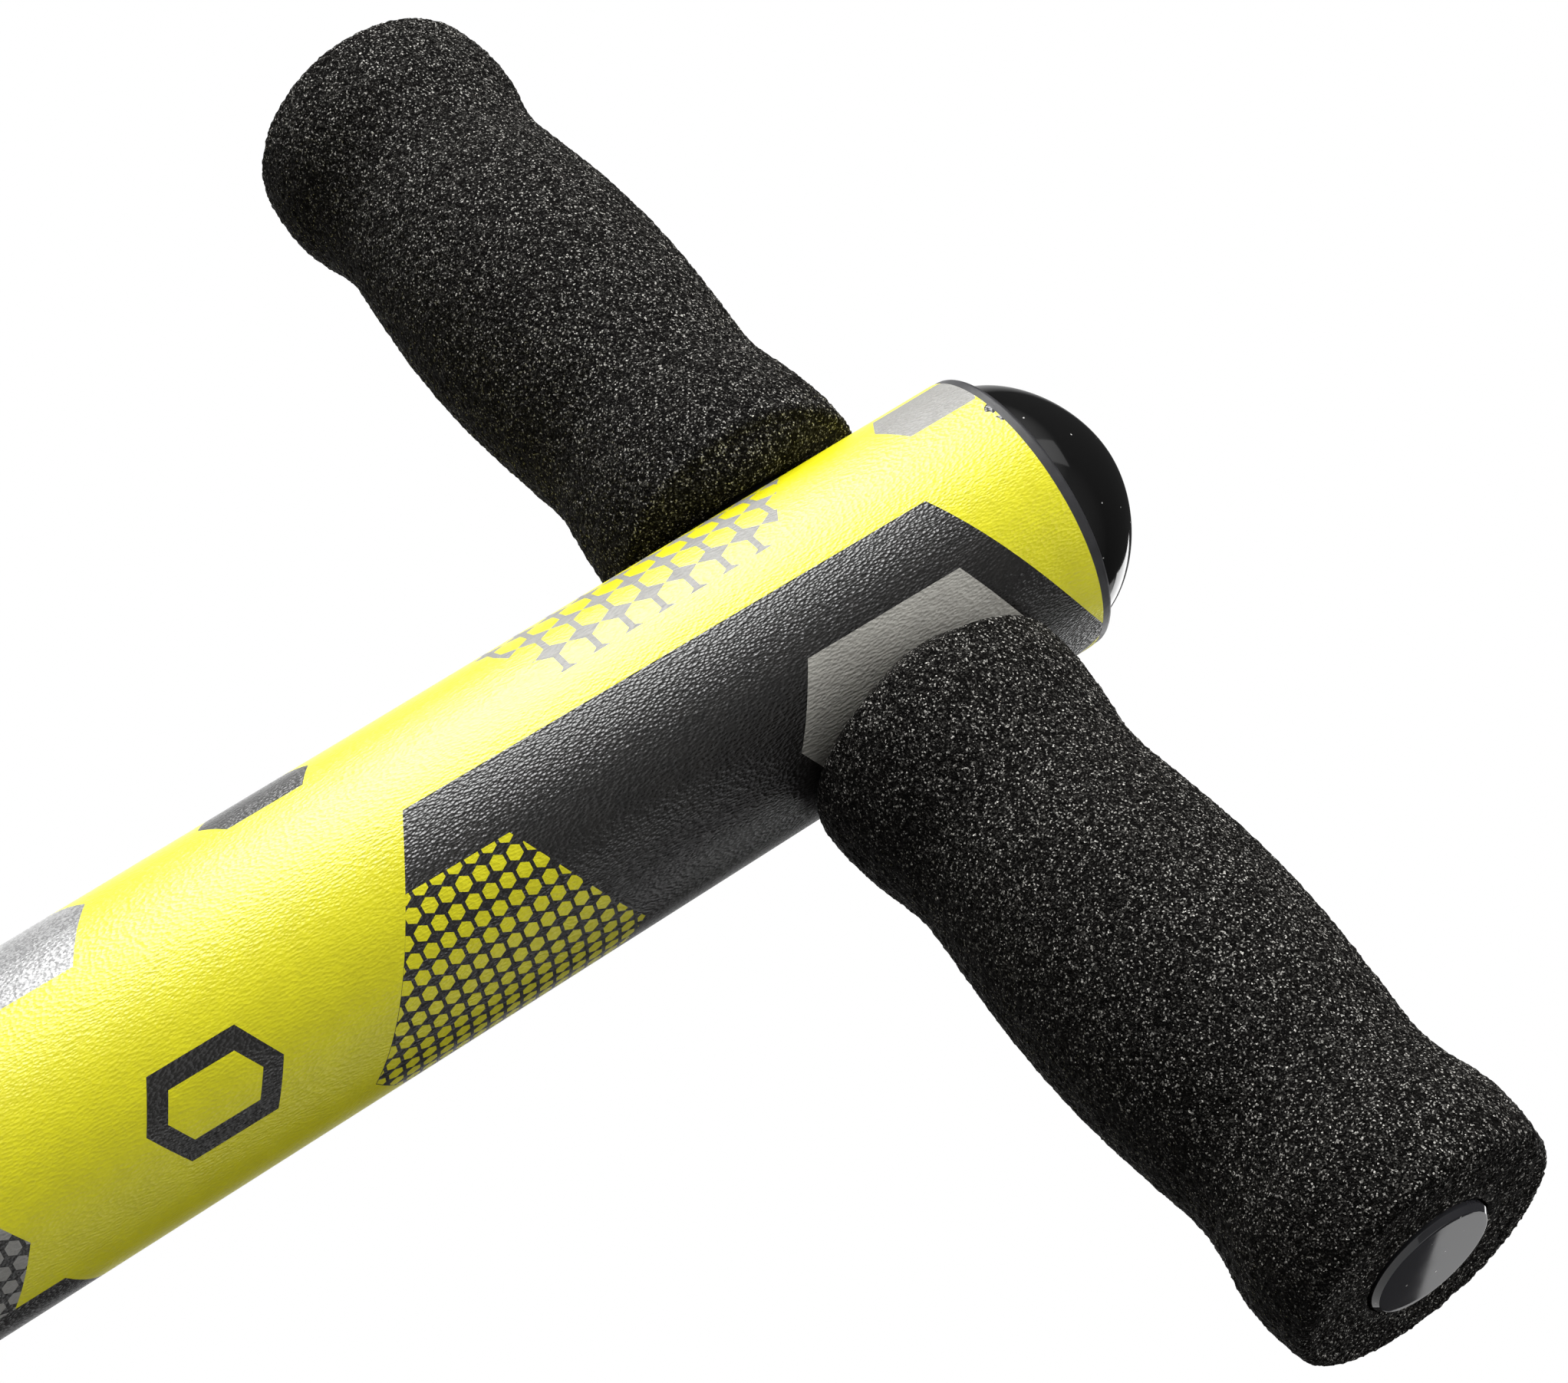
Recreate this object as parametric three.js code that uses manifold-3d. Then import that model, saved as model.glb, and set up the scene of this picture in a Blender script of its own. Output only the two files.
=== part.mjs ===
// Pogo stick. A spring-loaded plunger slides inside a round outer tube, which
// carries the handlebar with its foam grips and a pair of folding foot pegs.
//
// Millimetres, +Z up along the tube, +X along the handlebar.
// The origin is the centre of the rubber foot's sole, on the ground.

import * as THREE from "three";
import { mergeVertices } from "three/addons/utils/BufferGeometryUtils.js";
import Module from "manifold-3d";

const wasm = await Module();
wasm.setup();

// ---- Driving dimensions --------------------------------------------------

const GAP = 0.3; // clearance left between pieces that touch

// Outer tube, 2 inch steel tube
const TUBE_R = 25.4;
const TUBE_WALL = 1.7;
const TUBE_BORE_R = TUBE_R - TUBE_WALL;
const TUBE_BOTTOM = 193;
const TUBE_TOP = 985;
const TUBE_RIM_ROUND = 0.8;

// Handlebar, 7/8 inch steel tube through the outer tube
const BAR_R = 11.1;
const BAR_WALL = 1.6;
const BAR_HALF_LENGTH = 144.3;
const BAR_BELOW_TOP = 37.4;
const BAR_Z = TUBE_TOP - BAR_BELOW_TOP;
const BAR_SCREW_R = 3;
const BAR_INSERT_R = 4.7;

// Foam grips, as distances from the tube's axis and outer radii
const GRIP_START = 26.7;
const GRIP_END = 145.8;
const GRIP_LENGTH = GRIP_END - GRIP_START;
const GRIP_FLARE_R = 24.6;
const GRIP_NECK_R = 22.1;
const GRIP_PALM_R = 24.6;
const GRIP_FLANGE_R = 24.8;
const GRIP_TIP_R = 23.2;

// Dome plug in the top of the tube
const CAP_STEM_R = TUBE_BORE_R - 0.35;
const CAP_STEM_DEPTH = 21;
const CAP_DOME_R = 22.9;
const CAP_DOME_HEIGHT = 18.1;
const CAP_DOME_POWER = 1.8; // 2 is an ellipse, lower is more pointed

// Plunger and its travel
const PLUNGER_R = 15.9;
const PLUNGER_WALL = 2;
const PLUNGER_BOTTOM = 15;
const PLUNGER_TOP = 300;
const TRAVEL = 90;

// Main spring, between the seat on the plunger and the stop in the tube
const WIRE_R = 2.5;
const COIL_R = 18.5;
const COIL_TURNS = 17;
const END_PITCH = 5.6; // the closed turn at each end
const SEAT_THICKNESS = 3;
const SPRING_BOTTOM = PLUNGER_TOP + SEAT_THICKNESS + 2 * GAP;
const SPRING_LENGTH = 240;
const STOP_BOTTOM = SPRING_BOTTOM + SPRING_LENGTH + GAP;
const STOP_HEIGHT = 26;
const SPIGOT_R = 15.4; // spigots that centre the spring's two ends
const SPIGOT_HEIGHT = 8;
const SEAT_SPIGOT_HEIGHT = 5.5;
const STOP_BOLT_Z = STOP_BOTTOM + 14.5;
const ROD_R = 9;
const ROD_SOCKET_DEPTH = 6;
const ROD_END_CLEARANCE = 6; // to the seat's spigot at full travel

// Pieces at the tube's lower end
const COLLAR_R = 29;
const COLLAR_BOTTOM = 188;
const COLLAR_TOP = 228;
const COLLAR_SCREW_Z = 212;
const COLLAR_SCREW_R = 2.4;
const COLLAR_SCREW_ANGLES = [90, 210, 330];
const BUSH_TOP = 256;
const BUMPER_TOP = BUSH_TOP + 12;
const PISTON_TOP = 298;
const PISTON_PIN_R = 3;

// Rubber foot
const FOOT_SOLE_R = 28;
const FOOT_NECK_R = 21;
const FOOT_HEIGHT = 62;
const FOOT_WASHER_THICKNESS = 2.7;

// Foot pegs and the bracket that they fold in
const PEG_PIVOT_X = 42;
const PEG_PIVOT_Z = 255;
const PLATE_INNER_Y = TUBE_R + GAP;
const PLATE_THICKNESS = 3;
const PLATE_OUTER_Y = PLATE_INNER_Y + PLATE_THICKNESS;
const PEG_HALF_WIDTH = 25;
const PEG_WIDE_HALF = 29;
const PEG_LENGTH = 95;
const PEG_SHEET = 3;
const PEG_DROP = 9; // from the pivot to the peg's lower edge
const PEG_BARREL_R = 7;
const PEG_BOLT_R = 4;
const TREAD_START = 21;
const TREAD_END = 93;
const TREAD_BASE = 6;
const RIDGE_HEIGHT = 3;
const RIDGE_WIDTH = 4;
const RIDGE_COUNT = 8;
const TREAD_SCREW_XS = [36, 78];
const TREAD_SCREW_R = 2.4;

// Facets around a full circle
const ROUND_LARGE = 40;
const ROUND_MEDIUM = 24;
const ROUND_SMALL = 12;

// ---- Finishes ------------------------------------------------------------

const FILM_YELLOW = finish("yellow_film", 0xe6de1c, 0.42, 0.0);
const FOAM_BLACK = finish("foam", 0x1b1b1d, 0.95, 0.0);
const CAP_BLACK = finish("cap_plastic", 0x121214, 0.18, 0.0);
const PLASTIC_BLACK = finish("black_plastic", 0x1e1e20, 0.5, 0.0);
const RUBBER_BLACK = finish("rubber", 0x17171a, 0.85, 0.0);
const PAINT_BLACK = finish("black_paint", 0x2a2a2d, 0.45, 0.3);
const STEEL_PLATED = finish("plated_steel", 0xb9bcc0, 0.32, 1.0);
const SPRING_STEEL = finish("spring_steel", 0x5d6066, 0.38, 1.0);
const NYLON_WHITE = finish("nylon", 0xe4e2da, 0.55, 0.0);

function finish(name, color, roughness, metalness) {
  const material = new THREE.MeshStandardMaterial({ color, roughness, metalness });
  material.name = name;
  return material;
}

// ---- Solid modelling helpers ---------------------------------------------

// A closed geometry with shared vertices, no empty triangles and faces out.
function closed(geometry) {
  const bare = geometry.clone();
  bare.deleteAttribute("normal");
  bare.deleteAttribute("uv");
  const merged = mergeVertices(bare, 1e-4);
  const position = merged.getAttribute("position");
  const corners = merged.getIndex().array;
  const [a, b, c] = [new THREE.Vector3(), new THREE.Vector3(), new THREE.Vector3()];
  const kept = [];
  let volume = 0;
  for (let i = 0; i < corners.length; i += 3) {
    const [p, q, r] = [corners[i], corners[i + 1], corners[i + 2]];
    if (p === q || q === r || r === p) continue;
    kept.push(p, q, r);
    a.fromBufferAttribute(position, p);
    b.fromBufferAttribute(position, q);
    c.fromBufferAttribute(position, r);
    volume += a.dot(b.cross(c));
  }
  if (volume < 0) kept.reverse();
  merged.setIndex(kept);
  return merged;
}

function toSolid(geometry) {
  const whole = closed(geometry);
  const vertProperties = Float32Array.from(whole.getAttribute("position").array);
  const triVerts = Uint32Array.from(whole.getIndex().array);
  return new wasm.Manifold(new wasm.Mesh({ numProp: 3, vertProperties, triVerts }));
}

function toGeometry(solid) {
  const mesh = solid.getMesh();
  const geometry = new THREE.BufferGeometry();
  const position = new THREE.BufferAttribute(Float32Array.from(mesh.vertProperties), 3);
  geometry.setAttribute("position", position);
  geometry.setIndex(new THREE.BufferAttribute(Uint32Array.from(mesh.triVerts), 1));
  return geometry;
}

function join(first, ...others) {
  return toGeometry(others.reduce((whole, other) => whole.add(toSolid(other)), toSolid(first)));
}

function cut(body, ...tools) {
  return toGeometry(tools.reduce((rest, tool) => rest.subtract(toSolid(tool)), toSolid(body)));
}

// A solid of revolution about +Z from [radius, z] points. The outline starts
// and ends on the axis, or closes on itself.
function revolve(outline, facets = ROUND_MEDIUM) {
  const points = outline.map(([radius, z]) => new THREE.Vector2(radius, z));
  return closed(new THREE.LatheGeometry(points, facets).rotateX(Math.PI / 2));
}

function disc(radius, low, high, facets = ROUND_MEDIUM) {
  return revolve([[0, low], [radius, low], [radius, high], [0, high]], facets);
}

function pipe(inner, outer, low, high, facets = ROUND_MEDIUM) {
  const outline = [[inner, low], [outer, low], [outer, high], [inner, high], [inner, low]];
  return revolve(outline, facets);
}

// The same solid turned so that its +Z becomes +X or +Y.
function alongX(geometry) {
  return geometry.rotateY(Math.PI / 2);
}

function alongY(geometry) {
  return geometry.rotateX(-Math.PI / 2);
}

function box(width, depth, height, x, y, z) {
  return new THREE.BoxGeometry(width, depth, height).translate(x, y, z);
}

function extrude(shape, low, high, curveSegments = 6) {
  const settings = { depth: high - low, bevelEnabled: false, curveSegments };
  return closed(new THREE.ExtrudeGeometry(shape, settings).translate(0, 0, low));
}

function hexagon(radius, low, high) {
  return disc(radius, low, high, 6);
}

// A named piece, placed in its group.
function piece(group, name, geometry, material, position = [0, 0, 0], turn = [0, 0, 0]) {
  const mesh = new THREE.Mesh(closed(geometry), material);
  mesh.geometry.computeVertexNormals();
  mesh.name = name;
  mesh.position.set(...position);
  mesh.rotation.set(...turn);
  group.add(mesh);
}

// ---- Outer tube and top cap ----------------------------------------------

function outerTubeGeometry() {
  const rim = TUBE_TOP - TUBE_RIM_ROUND;
  const shell = revolve([
    [TUBE_BORE_R, TUBE_BOTTOM],
    [TUBE_R, TUBE_BOTTOM],
    [TUBE_R, rim],
    [TUBE_R - 0.3 * TUBE_RIM_ROUND, rim + 0.7 * TUBE_RIM_ROUND],
    [TUBE_R - TUBE_RIM_ROUND, TUBE_TOP],
    [TUBE_BORE_R, TUBE_TOP],
    [TUBE_BORE_R, TUBE_BOTTOM],
  ], ROUND_LARGE);
  const barHole = alongX(disc(BAR_R + 0.4, -40, 40)).translate(0, 0, BAR_Z);
  const barScrewHole = alongY(disc(BAR_SCREW_R + 0.4, 0, 40, ROUND_SMALL));
  const stopHole = alongY(disc(PEG_BOLT_R + 0.4, -40, 40, ROUND_SMALL));
  const collarHoles = COLLAR_SCREW_ANGLES.map((angle) => collarScrewHole(angle));
  return cut(
    shell,
    barHole,
    barScrewHole.translate(0, 0, BAR_Z),
    stopHole.translate(0, 0, STOP_BOLT_Z),
    ...collarHoles,
  );
}

// Dome plug: a superellipse dome on a hollow stem. Its own z = 0 is the rim of
// the tube.
function capGeometry() {
  const dome = [];
  const steps = 7;
  for (let i = 0; i <= steps; i += 1) {
    const rise = Math.sin((i / steps) * (Math.PI / 2));
    const radius = CAP_DOME_R * (1 - rise ** CAP_DOME_POWER) ** (1 / CAP_DOME_POWER);
    dome.push([i === steps ? 0 : radius, rise * CAP_DOME_HEIGHT]);
  }
  return revolve([
    [0, 11],
    [13, 9.5],
    [20, 1],
    [20.8, -CAP_STEM_DEPTH],
    [CAP_STEM_R - 1, -CAP_STEM_DEPTH],
    [CAP_STEM_R, -CAP_STEM_DEPTH + 2],
    [CAP_STEM_R, -0.8],
    ...dome,
  ]);
}

function topCap(group) {
  piece(group, "outer_tube", outerTubeGeometry(), FILM_YELLOW);
  piece(group, "top_cap", capGeometry(), CAP_BLACK, [0, 0, TUBE_TOP]);
}

// ---- Handlebar, grips and their fixings ----------------------------------

function handlebarGeometry() {
  const bore = BAR_R - BAR_WALL;
  const tube = alongX(pipe(bore, BAR_R, -BAR_HALF_LENGTH, BAR_HALF_LENGTH));
  const insertHole = alongY(disc(BAR_INSERT_R + GAP, 4, 20, ROUND_SMALL));
  return cut(tube, insertHole);
}

// Foam grip along +X: flare against the tube, neck, palm swell, neck, flange.
function gripGeometry() {
  const outer = new THREE.SplineCurve([
    new THREE.Vector2(GRIP_FLARE_R - 1, 0),
    new THREE.Vector2(GRIP_FLARE_R, 0.03 * GRIP_LENGTH),
    new THREE.Vector2(GRIP_FLARE_R - 0.6, 0.1 * GRIP_LENGTH),
    new THREE.Vector2(GRIP_NECK_R, 0.2 * GRIP_LENGTH),
    new THREE.Vector2(GRIP_PALM_R - 0.7, 0.36 * GRIP_LENGTH),
    new THREE.Vector2(GRIP_PALM_R, 0.52 * GRIP_LENGTH),
    new THREE.Vector2(GRIP_PALM_R - 1.2, 0.68 * GRIP_LENGTH),
    new THREE.Vector2(GRIP_NECK_R, 0.8 * GRIP_LENGTH),
    new THREE.Vector2(GRIP_FLANGE_R, 0.9 * GRIP_LENGTH),
    new THREE.Vector2(GRIP_TIP_R + 0.6, 0.97 * GRIP_LENGTH),
    new THREE.Vector2(GRIP_TIP_R - 2.2, GRIP_LENGTH),
  ]);
  const outline = outer.getPoints(13).map((point) => [point.x, point.y]);
  const bore = BAR_R + GAP;
  outline.unshift([bore, 0]);
  outline.push([bore, GRIP_LENGTH], [bore, 0]);
  return alongX(revolve(outline));
}

// Mushroom plug in the bar's open end. Its own x = 0 is the end of the bar.
function barPlugGeometry() {
  const stem = BAR_R - BAR_WALL - GAP;
  return alongX(revolve([
    [0, -14],
    [stem - 1, -14],
    [stem, -12],
    [stem, GAP],
    [BAR_R - 0.1, GAP],
    [BAR_R - 0.1, 1.7],
    [BAR_R - 0.9, 2.5],
    [0, 2.5],
  ]));
}

// Washer with a hollow under-side that fits the round tube. Bolt along +Y.
function saddleWasherGeometry(outer, bore, thickness) {
  const blank = alongY(pipe(bore, outer, 15, TUBE_R + GAP + thickness, ROUND_SMALL));
  return cut(blank, disc(TUBE_R + GAP, -30, 30, ROUND_LARGE));
}

const WASHER_THICKNESS = 1.6;
const WASHER_OUTER_Y = TUBE_R + GAP + WASHER_THICKNESS;

function barScrewGeometry() {
  const under = WASHER_OUTER_Y + GAP;
  return alongY(revolve([
    [0, 2],
    [BAR_SCREW_R, 2],
    [BAR_SCREW_R, under],
    [5.6, under],
    [5.3, under + 2],
    [3.4, under + 3.3],
    [1.9, under + 3.5],
    [1.9, under + 1.6],
    [0, under + 1.6],
  ], ROUND_SMALL));
}

function barInsertGeometry() {
  const bore = BAR_SCREW_R + GAP;
  const seat = BAR_R + GAP;
  return alongY(revolve([
    [bore, 1],
    [BAR_INSERT_R, 1],
    [BAR_INSERT_R, seat],
    [BAR_INSERT_R + 1.7, seat],
    [BAR_INSERT_R + 1.7, seat + 1],
    [bore, seat + 1],
    [bore, 1],
  ], ROUND_SMALL));
}

function handlebar(group) {
  const centre = [0, 0, BAR_Z];
  const washer = saddleWasherGeometry(8, BAR_SCREW_R + GAP, WASHER_THICKNESS);
  piece(group, "handlebar_tube", handlebarGeometry(), PAINT_BLACK, centre);
  piece(group, "bar_insert", barInsertGeometry(), STEEL_PLATED, centre);
  piece(group, "bar_washer", washer, STEEL_PLATED, centre);
  piece(group, "bar_screw", barScrewGeometry(), STEEL_PLATED, centre);
  for (const [side, sign] of [["right", 1], ["left", -1]]) {
    const turn = [0, 0, sign > 0 ? 0 : Math.PI];
    const gripAt = [sign * GRIP_START, 0, BAR_Z];
    const plugAt = [sign * BAR_HALF_LENGTH, 0, BAR_Z];
    piece(group, `grip_${side}`, gripGeometry(), FOAM_BLACK, gripAt, turn);
    piece(group, `bar_plug_${side}`, barPlugGeometry(), CAP_BLACK, plugAt, turn);
  }
}

// ---- Spring, its stop and its guide rod -----------------------------------

// Helix about +Z with one closed turn at each end and open turns between.
class SpringCurve extends THREE.Curve {
  getPoint(t, target = new THREE.Vector3()) {
    const turns = t * COIL_TURNS;
    const wireLength = SPRING_LENGTH - 2 * WIRE_R;
    const openPitch = (wireLength - 2 * END_PITCH) / (COIL_TURNS - 2);
    const opened = Math.min(Math.max(turns - 1, 0), COIL_TURNS - 2);
    const height = WIRE_R + END_PITCH * (turns - opened) + openPitch * opened;
    const angle = 2 * Math.PI * turns;
    return target.set(COIL_R * Math.cos(angle), COIL_R * Math.sin(angle), height);
  }
}

function springGeometry() {
  const wire = new THREE.Shape();
  const sides = 6;
  for (let i = 0; i < sides; i += 1) {
    const angle = (2 * Math.PI * i) / sides;
    const corner = [WIRE_R * Math.cos(angle), WIRE_R * Math.sin(angle)];
    if (i === 0) wire.moveTo(...corner);
    else wire.lineTo(...corner);
  }
  wire.closePath();
  const steps = COIL_TURNS * 10;
  return new THREE.ExtrudeGeometry(wire, { extrudePath: new SpringCurve(), steps });
}

function springStopGeometry() {
  const radius = TUBE_BORE_R - 0.35;
  const body = revolve([
    [0, -SPIGOT_HEIGHT],
    [SPIGOT_R - 1.5, -SPIGOT_HEIGHT],
    [SPIGOT_R, -SPIGOT_HEIGHT + 1.5],
    [SPIGOT_R, 0],
    [radius, 0],
    [radius, STOP_HEIGHT],
    [0, STOP_HEIGHT],
  ], ROUND_LARGE);
  const boltAbove = STOP_BOLT_Z - STOP_BOTTOM;
  const boltHole = alongY(disc(PEG_BOLT_R + GAP, -30, 30, ROUND_SMALL));
  const socketTop = ROD_SOCKET_DEPTH - SPIGOT_HEIGHT;
  const rodSocket = disc(ROD_R + GAP, -SPIGOT_HEIGHT - 5, socketTop);
  return cut(body, boltHole.translate(0, 0, boltAbove), rodSocket);
}

function guideRodGeometry() {
  const top = STOP_BOTTOM - SPIGOT_HEIGHT + ROD_SOCKET_DEPTH - GAP;
  const seatSpigotTop = PLUNGER_TOP + GAP + SEAT_THICKNESS + SEAT_SPIGOT_HEIGHT;
  const bottom = seatSpigotTop + TRAVEL + ROD_END_CLEARANCE;
  return revolve([
    [0, bottom],
    [ROD_R - 3, bottom],
    [ROD_R, bottom + 4],
    [ROD_R, top],
    [0, top],
  ]);
}

function hexBoltGeometry(radius, headRadius, headLow, headHigh, tip) {
  const shank = disc(radius, headHigh - 0.5, tip, ROUND_SMALL);
  return alongY(join(hexagon(headRadius, headLow, headHigh), shank));
}

function hexNutGeometry(radius, outerRadius, low, high) {
  const blank = hexagon(outerRadius, low, high);
  return alongY(cut(blank, disc(radius + GAP, low - 1, high + 1, ROUND_SMALL)));
}

function springAndStop(group) {
  const boltAt = [0, 0, STOP_BOLT_Z];
  const washer = saddleWasherGeometry(9, PEG_BOLT_R + GAP, WASHER_THICKNESS);
  const headSeat = WASHER_OUTER_Y + GAP;
  const bolt = hexBoltGeometry(PEG_BOLT_R, 7.5, -headSeat - 5.3, -headSeat, 35.5);
  const nut = hexNutGeometry(PEG_BOLT_R, 7.5, headSeat, headSeat + 6.5);
  piece(group, "spring_stop", springStopGeometry(), NYLON_WHITE, [0, 0, STOP_BOTTOM]);
  piece(group, "spring_guide_rod", guideRodGeometry(), STEEL_PLATED);
  piece(group, "main_spring", springGeometry(), SPRING_STEEL, [0, 0, SPRING_BOTTOM]);
  piece(group, "stop_bolt", bolt, STEEL_PLATED, boltAt);
  piece(group, "stop_washer_rear", washer, STEEL_PLATED, boltAt);
  piece(group, "stop_washer_front", washer, STEEL_PLATED, boltAt, [0, 0, Math.PI]);
  piece(group, "stop_nut", nut, STEEL_PLATED, boltAt);
}

// ---- Guide bush and bottom collar ----------------------------------------

// Radial hole for one collar screw, at an angle in degrees from +X.
function collarScrewHole(angle, innermost = 16) {
  const hole = alongX(disc(COLLAR_SCREW_R + GAP, innermost, 40, ROUND_SMALL));
  return hole.rotateZ(THREE.MathUtils.degToRad(angle)).translate(0, 0, COLLAR_SCREW_Z);
}

function guideBushGeometry() {
  const bore = PLUNGER_R + 0.35;
  const bottom = TUBE_BOTTOM + GAP;
  const body = revolve([
    [bore + 1.5, bottom],
    [TUBE_BORE_R - 0.35, bottom],
    [TUBE_BORE_R - 0.35, BUSH_TOP],
    [bore + 1, BUSH_TOP],
    [bore, BUSH_TOP - 1.5],
    [bore, bottom + 2],
    [bore + 1.5, bottom],
  ], ROUND_LARGE);
  return cut(body, ...COLLAR_SCREW_ANGLES.map((angle) => collarScrewHole(angle, 18)));
}

function bottomCollarGeometry() {
  const lip = TUBE_BOTTOM - GAP;
  const body = revolve([
    [PLUNGER_R + 1.3, COLLAR_BOTTOM],
    [COLLAR_R - 3, COLLAR_BOTTOM],
    [COLLAR_R, COLLAR_BOTTOM + 4],
    [COLLAR_R, COLLAR_TOP - 2],
    [COLLAR_R - 2, COLLAR_TOP],
    [TUBE_R + GAP, COLLAR_TOP],
    [TUBE_R + GAP, lip],
    [PLUNGER_R + 1.3, lip],
    [PLUNGER_R + 1.3, COLLAR_BOTTOM],
  ], ROUND_LARGE);
  return cut(body, ...COLLAR_SCREW_ANGLES.map((angle) => collarScrewHole(angle)));
}

function collarScrewGeometry() {
  const under = COLLAR_R + GAP;
  return alongX(revolve([
    [0, 19],
    [COLLAR_SCREW_R, 20],
    [COLLAR_SCREW_R, under],
    [4.6, under],
    [4.2, under + 1.6],
    [2.4, under + 2.6],
    [0, under + 2.6],
  ], ROUND_SMALL));
}

function lowerEnd(group) {
  piece(group, "guide_bush", guideBushGeometry(), NYLON_WHITE);
  piece(group, "bottom_collar", bottomCollarGeometry(), PLASTIC_BLACK);
  COLLAR_SCREW_ANGLES.forEach((angle, index) => {
    const turn = [0, 0, THREE.MathUtils.degToRad(angle)];
    const at = [0, 0, COLLAR_SCREW_Z];
    const name = `collar_screw_${index + 1}`;
    piece(group, name, collarScrewGeometry(), STEEL_PLATED, at, turn);
  });
}

// ---- Plunger --------------------------------------------------------------

function piston() {
  const bore = PLUNGER_R + GAP;
  const outer = TUBE_BORE_R - 0.4;
  const body = revolve([
    [bore, BUMPER_TOP],
    [outer - 1, BUMPER_TOP],
    [outer, BUMPER_TOP + 1.5],
    [outer, PISTON_TOP - 1.5],
    [outer - 1, PISTON_TOP],
    [bore, PISTON_TOP],
    [bore, BUMPER_TOP],
  ], ROUND_LARGE);
  return cut(body, pistonPinHole());
}

const PISTON_PIN_Z = (BUMPER_TOP + PISTON_TOP) / 2;

function pistonPinHole() {
  const hole = alongX(disc(PISTON_PIN_R + GAP, -40, 40, ROUND_SMALL));
  return hole.translate(0, 0, PISTON_PIN_Z);
}

function plungerTubeGeometry() {
  const bore = PLUNGER_R - PLUNGER_WALL;
  return cut(pipe(bore, PLUNGER_R, PLUNGER_BOTTOM, PLUNGER_TOP), pistonPinHole());
}

function springSeatGeometry() {
  const low = PLUNGER_TOP + GAP;
  const high = low + SEAT_THICKNESS;
  return revolve([
    [0, low],
    [22.4, low],
    [22.4, high],
    [SPIGOT_R, high],
    [SPIGOT_R - 2, high + SEAT_SPIGOT_HEIGHT],
    [0, high + SEAT_SPIGOT_HEIGHT],
  ]);
}

function bumperRingGeometry() {
  const bore = PLUNGER_R + 0.5;
  const low = BUSH_TOP + GAP;
  const high = BUMPER_TOP - GAP;
  return revolve([
    [bore, low],
    [20.5, low],
    [22, low + 2],
    [22, high - 2],
    [20.5, high],
    [bore, high],
    [bore, low],
  ]);
}

// Rubber foot: a socket for the plunger on a wide sole with ring grooves.
function rubberFootGeometry() {
  const socket = PLUNGER_R + GAP;
  const floor = PLUNGER_BOTTOM - FOOT_WASHER_THICKNESS - 2 * GAP;
  const grooveDepth = 1.6;
  const sole = [[0, 0]];
  for (const radius of [10, 18]) {
    sole.push([radius, 0], [radius + 0.6, grooveDepth]);
    sole.push([radius + 2.2, grooveDepth], [radius + 2.8, 0]);
  }
  return revolve([
    ...sole,
    [FOOT_SOLE_R - 1.5, 0],
    [FOOT_SOLE_R, 1.5],
    [FOOT_SOLE_R, 8],
    [FOOT_SOLE_R - 2, 14],
    [FOOT_NECK_R + 1.5, 40],
    [FOOT_NECK_R, 52],
    [FOOT_NECK_R, FOOT_HEIGHT - 2],
    [FOOT_NECK_R - 1.5, FOOT_HEIGHT],
    [socket, FOOT_HEIGHT],
    [socket, floor],
    [0, floor],
  ], ROUND_MEDIUM);
}

function plunger(group) {
  const washerLow = PLUNGER_BOTTOM - FOOT_WASHER_THICKNESS - GAP;
  const tipWasher = disc(15.6, washerLow, PLUNGER_BOTTOM - GAP);
  const pin = alongX(disc(PISTON_PIN_R, -21.5, 21.5, ROUND_SMALL));
  piece(group, "plunger_tube", plungerTubeGeometry(), STEEL_PLATED);
  piece(group, "piston", piston(), NYLON_WHITE);
  piece(group, "piston_pin", pin, STEEL_PLATED, [0, 0, PISTON_PIN_Z]);
  piece(group, "spring_seat", springSeatGeometry(), STEEL_PLATED);
  piece(group, "bumper_ring", bumperRingGeometry(), RUBBER_BLACK);
  piece(group, "tip_washer", tipWasher, STEEL_PLATED);
  piece(group, "rubber_foot", rubberFootGeometry(), RUBBER_BLACK);
}

// ---- Foot pegs and their bracket ------------------------------------------

// Side plate seen along Y, about the tube's axis and the pivots' height: a
// deep middle, round eyes at the pivots and a low toe that holds the stop bar.
function bracketPlateShape() {
  const eye = 14;
  const toe = PEG_PIVOT_X + 19;
  const shape = new THREE.Shape();
  shape.moveTo(-22, -19);
  shape.lineTo(22, -19);
  shape.lineTo(toe - 3, -16);
  shape.lineTo(toe, -13);
  shape.lineTo(toe, -8);
  shape.absarc(PEG_PIVOT_X, 0, eye, -0.15, Math.PI / 2, false);
  shape.lineTo(22, 19);
  shape.lineTo(-22, 19);
  shape.absarc(-PEG_PIVOT_X, 0, eye, Math.PI / 2, Math.PI + 0.15, false);
  shape.lineTo(-toe, -8);
  shape.lineTo(-toe, -13);
  shape.lineTo(-toe + 3, -16);
  shape.closePath();
  return shape;
}

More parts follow.
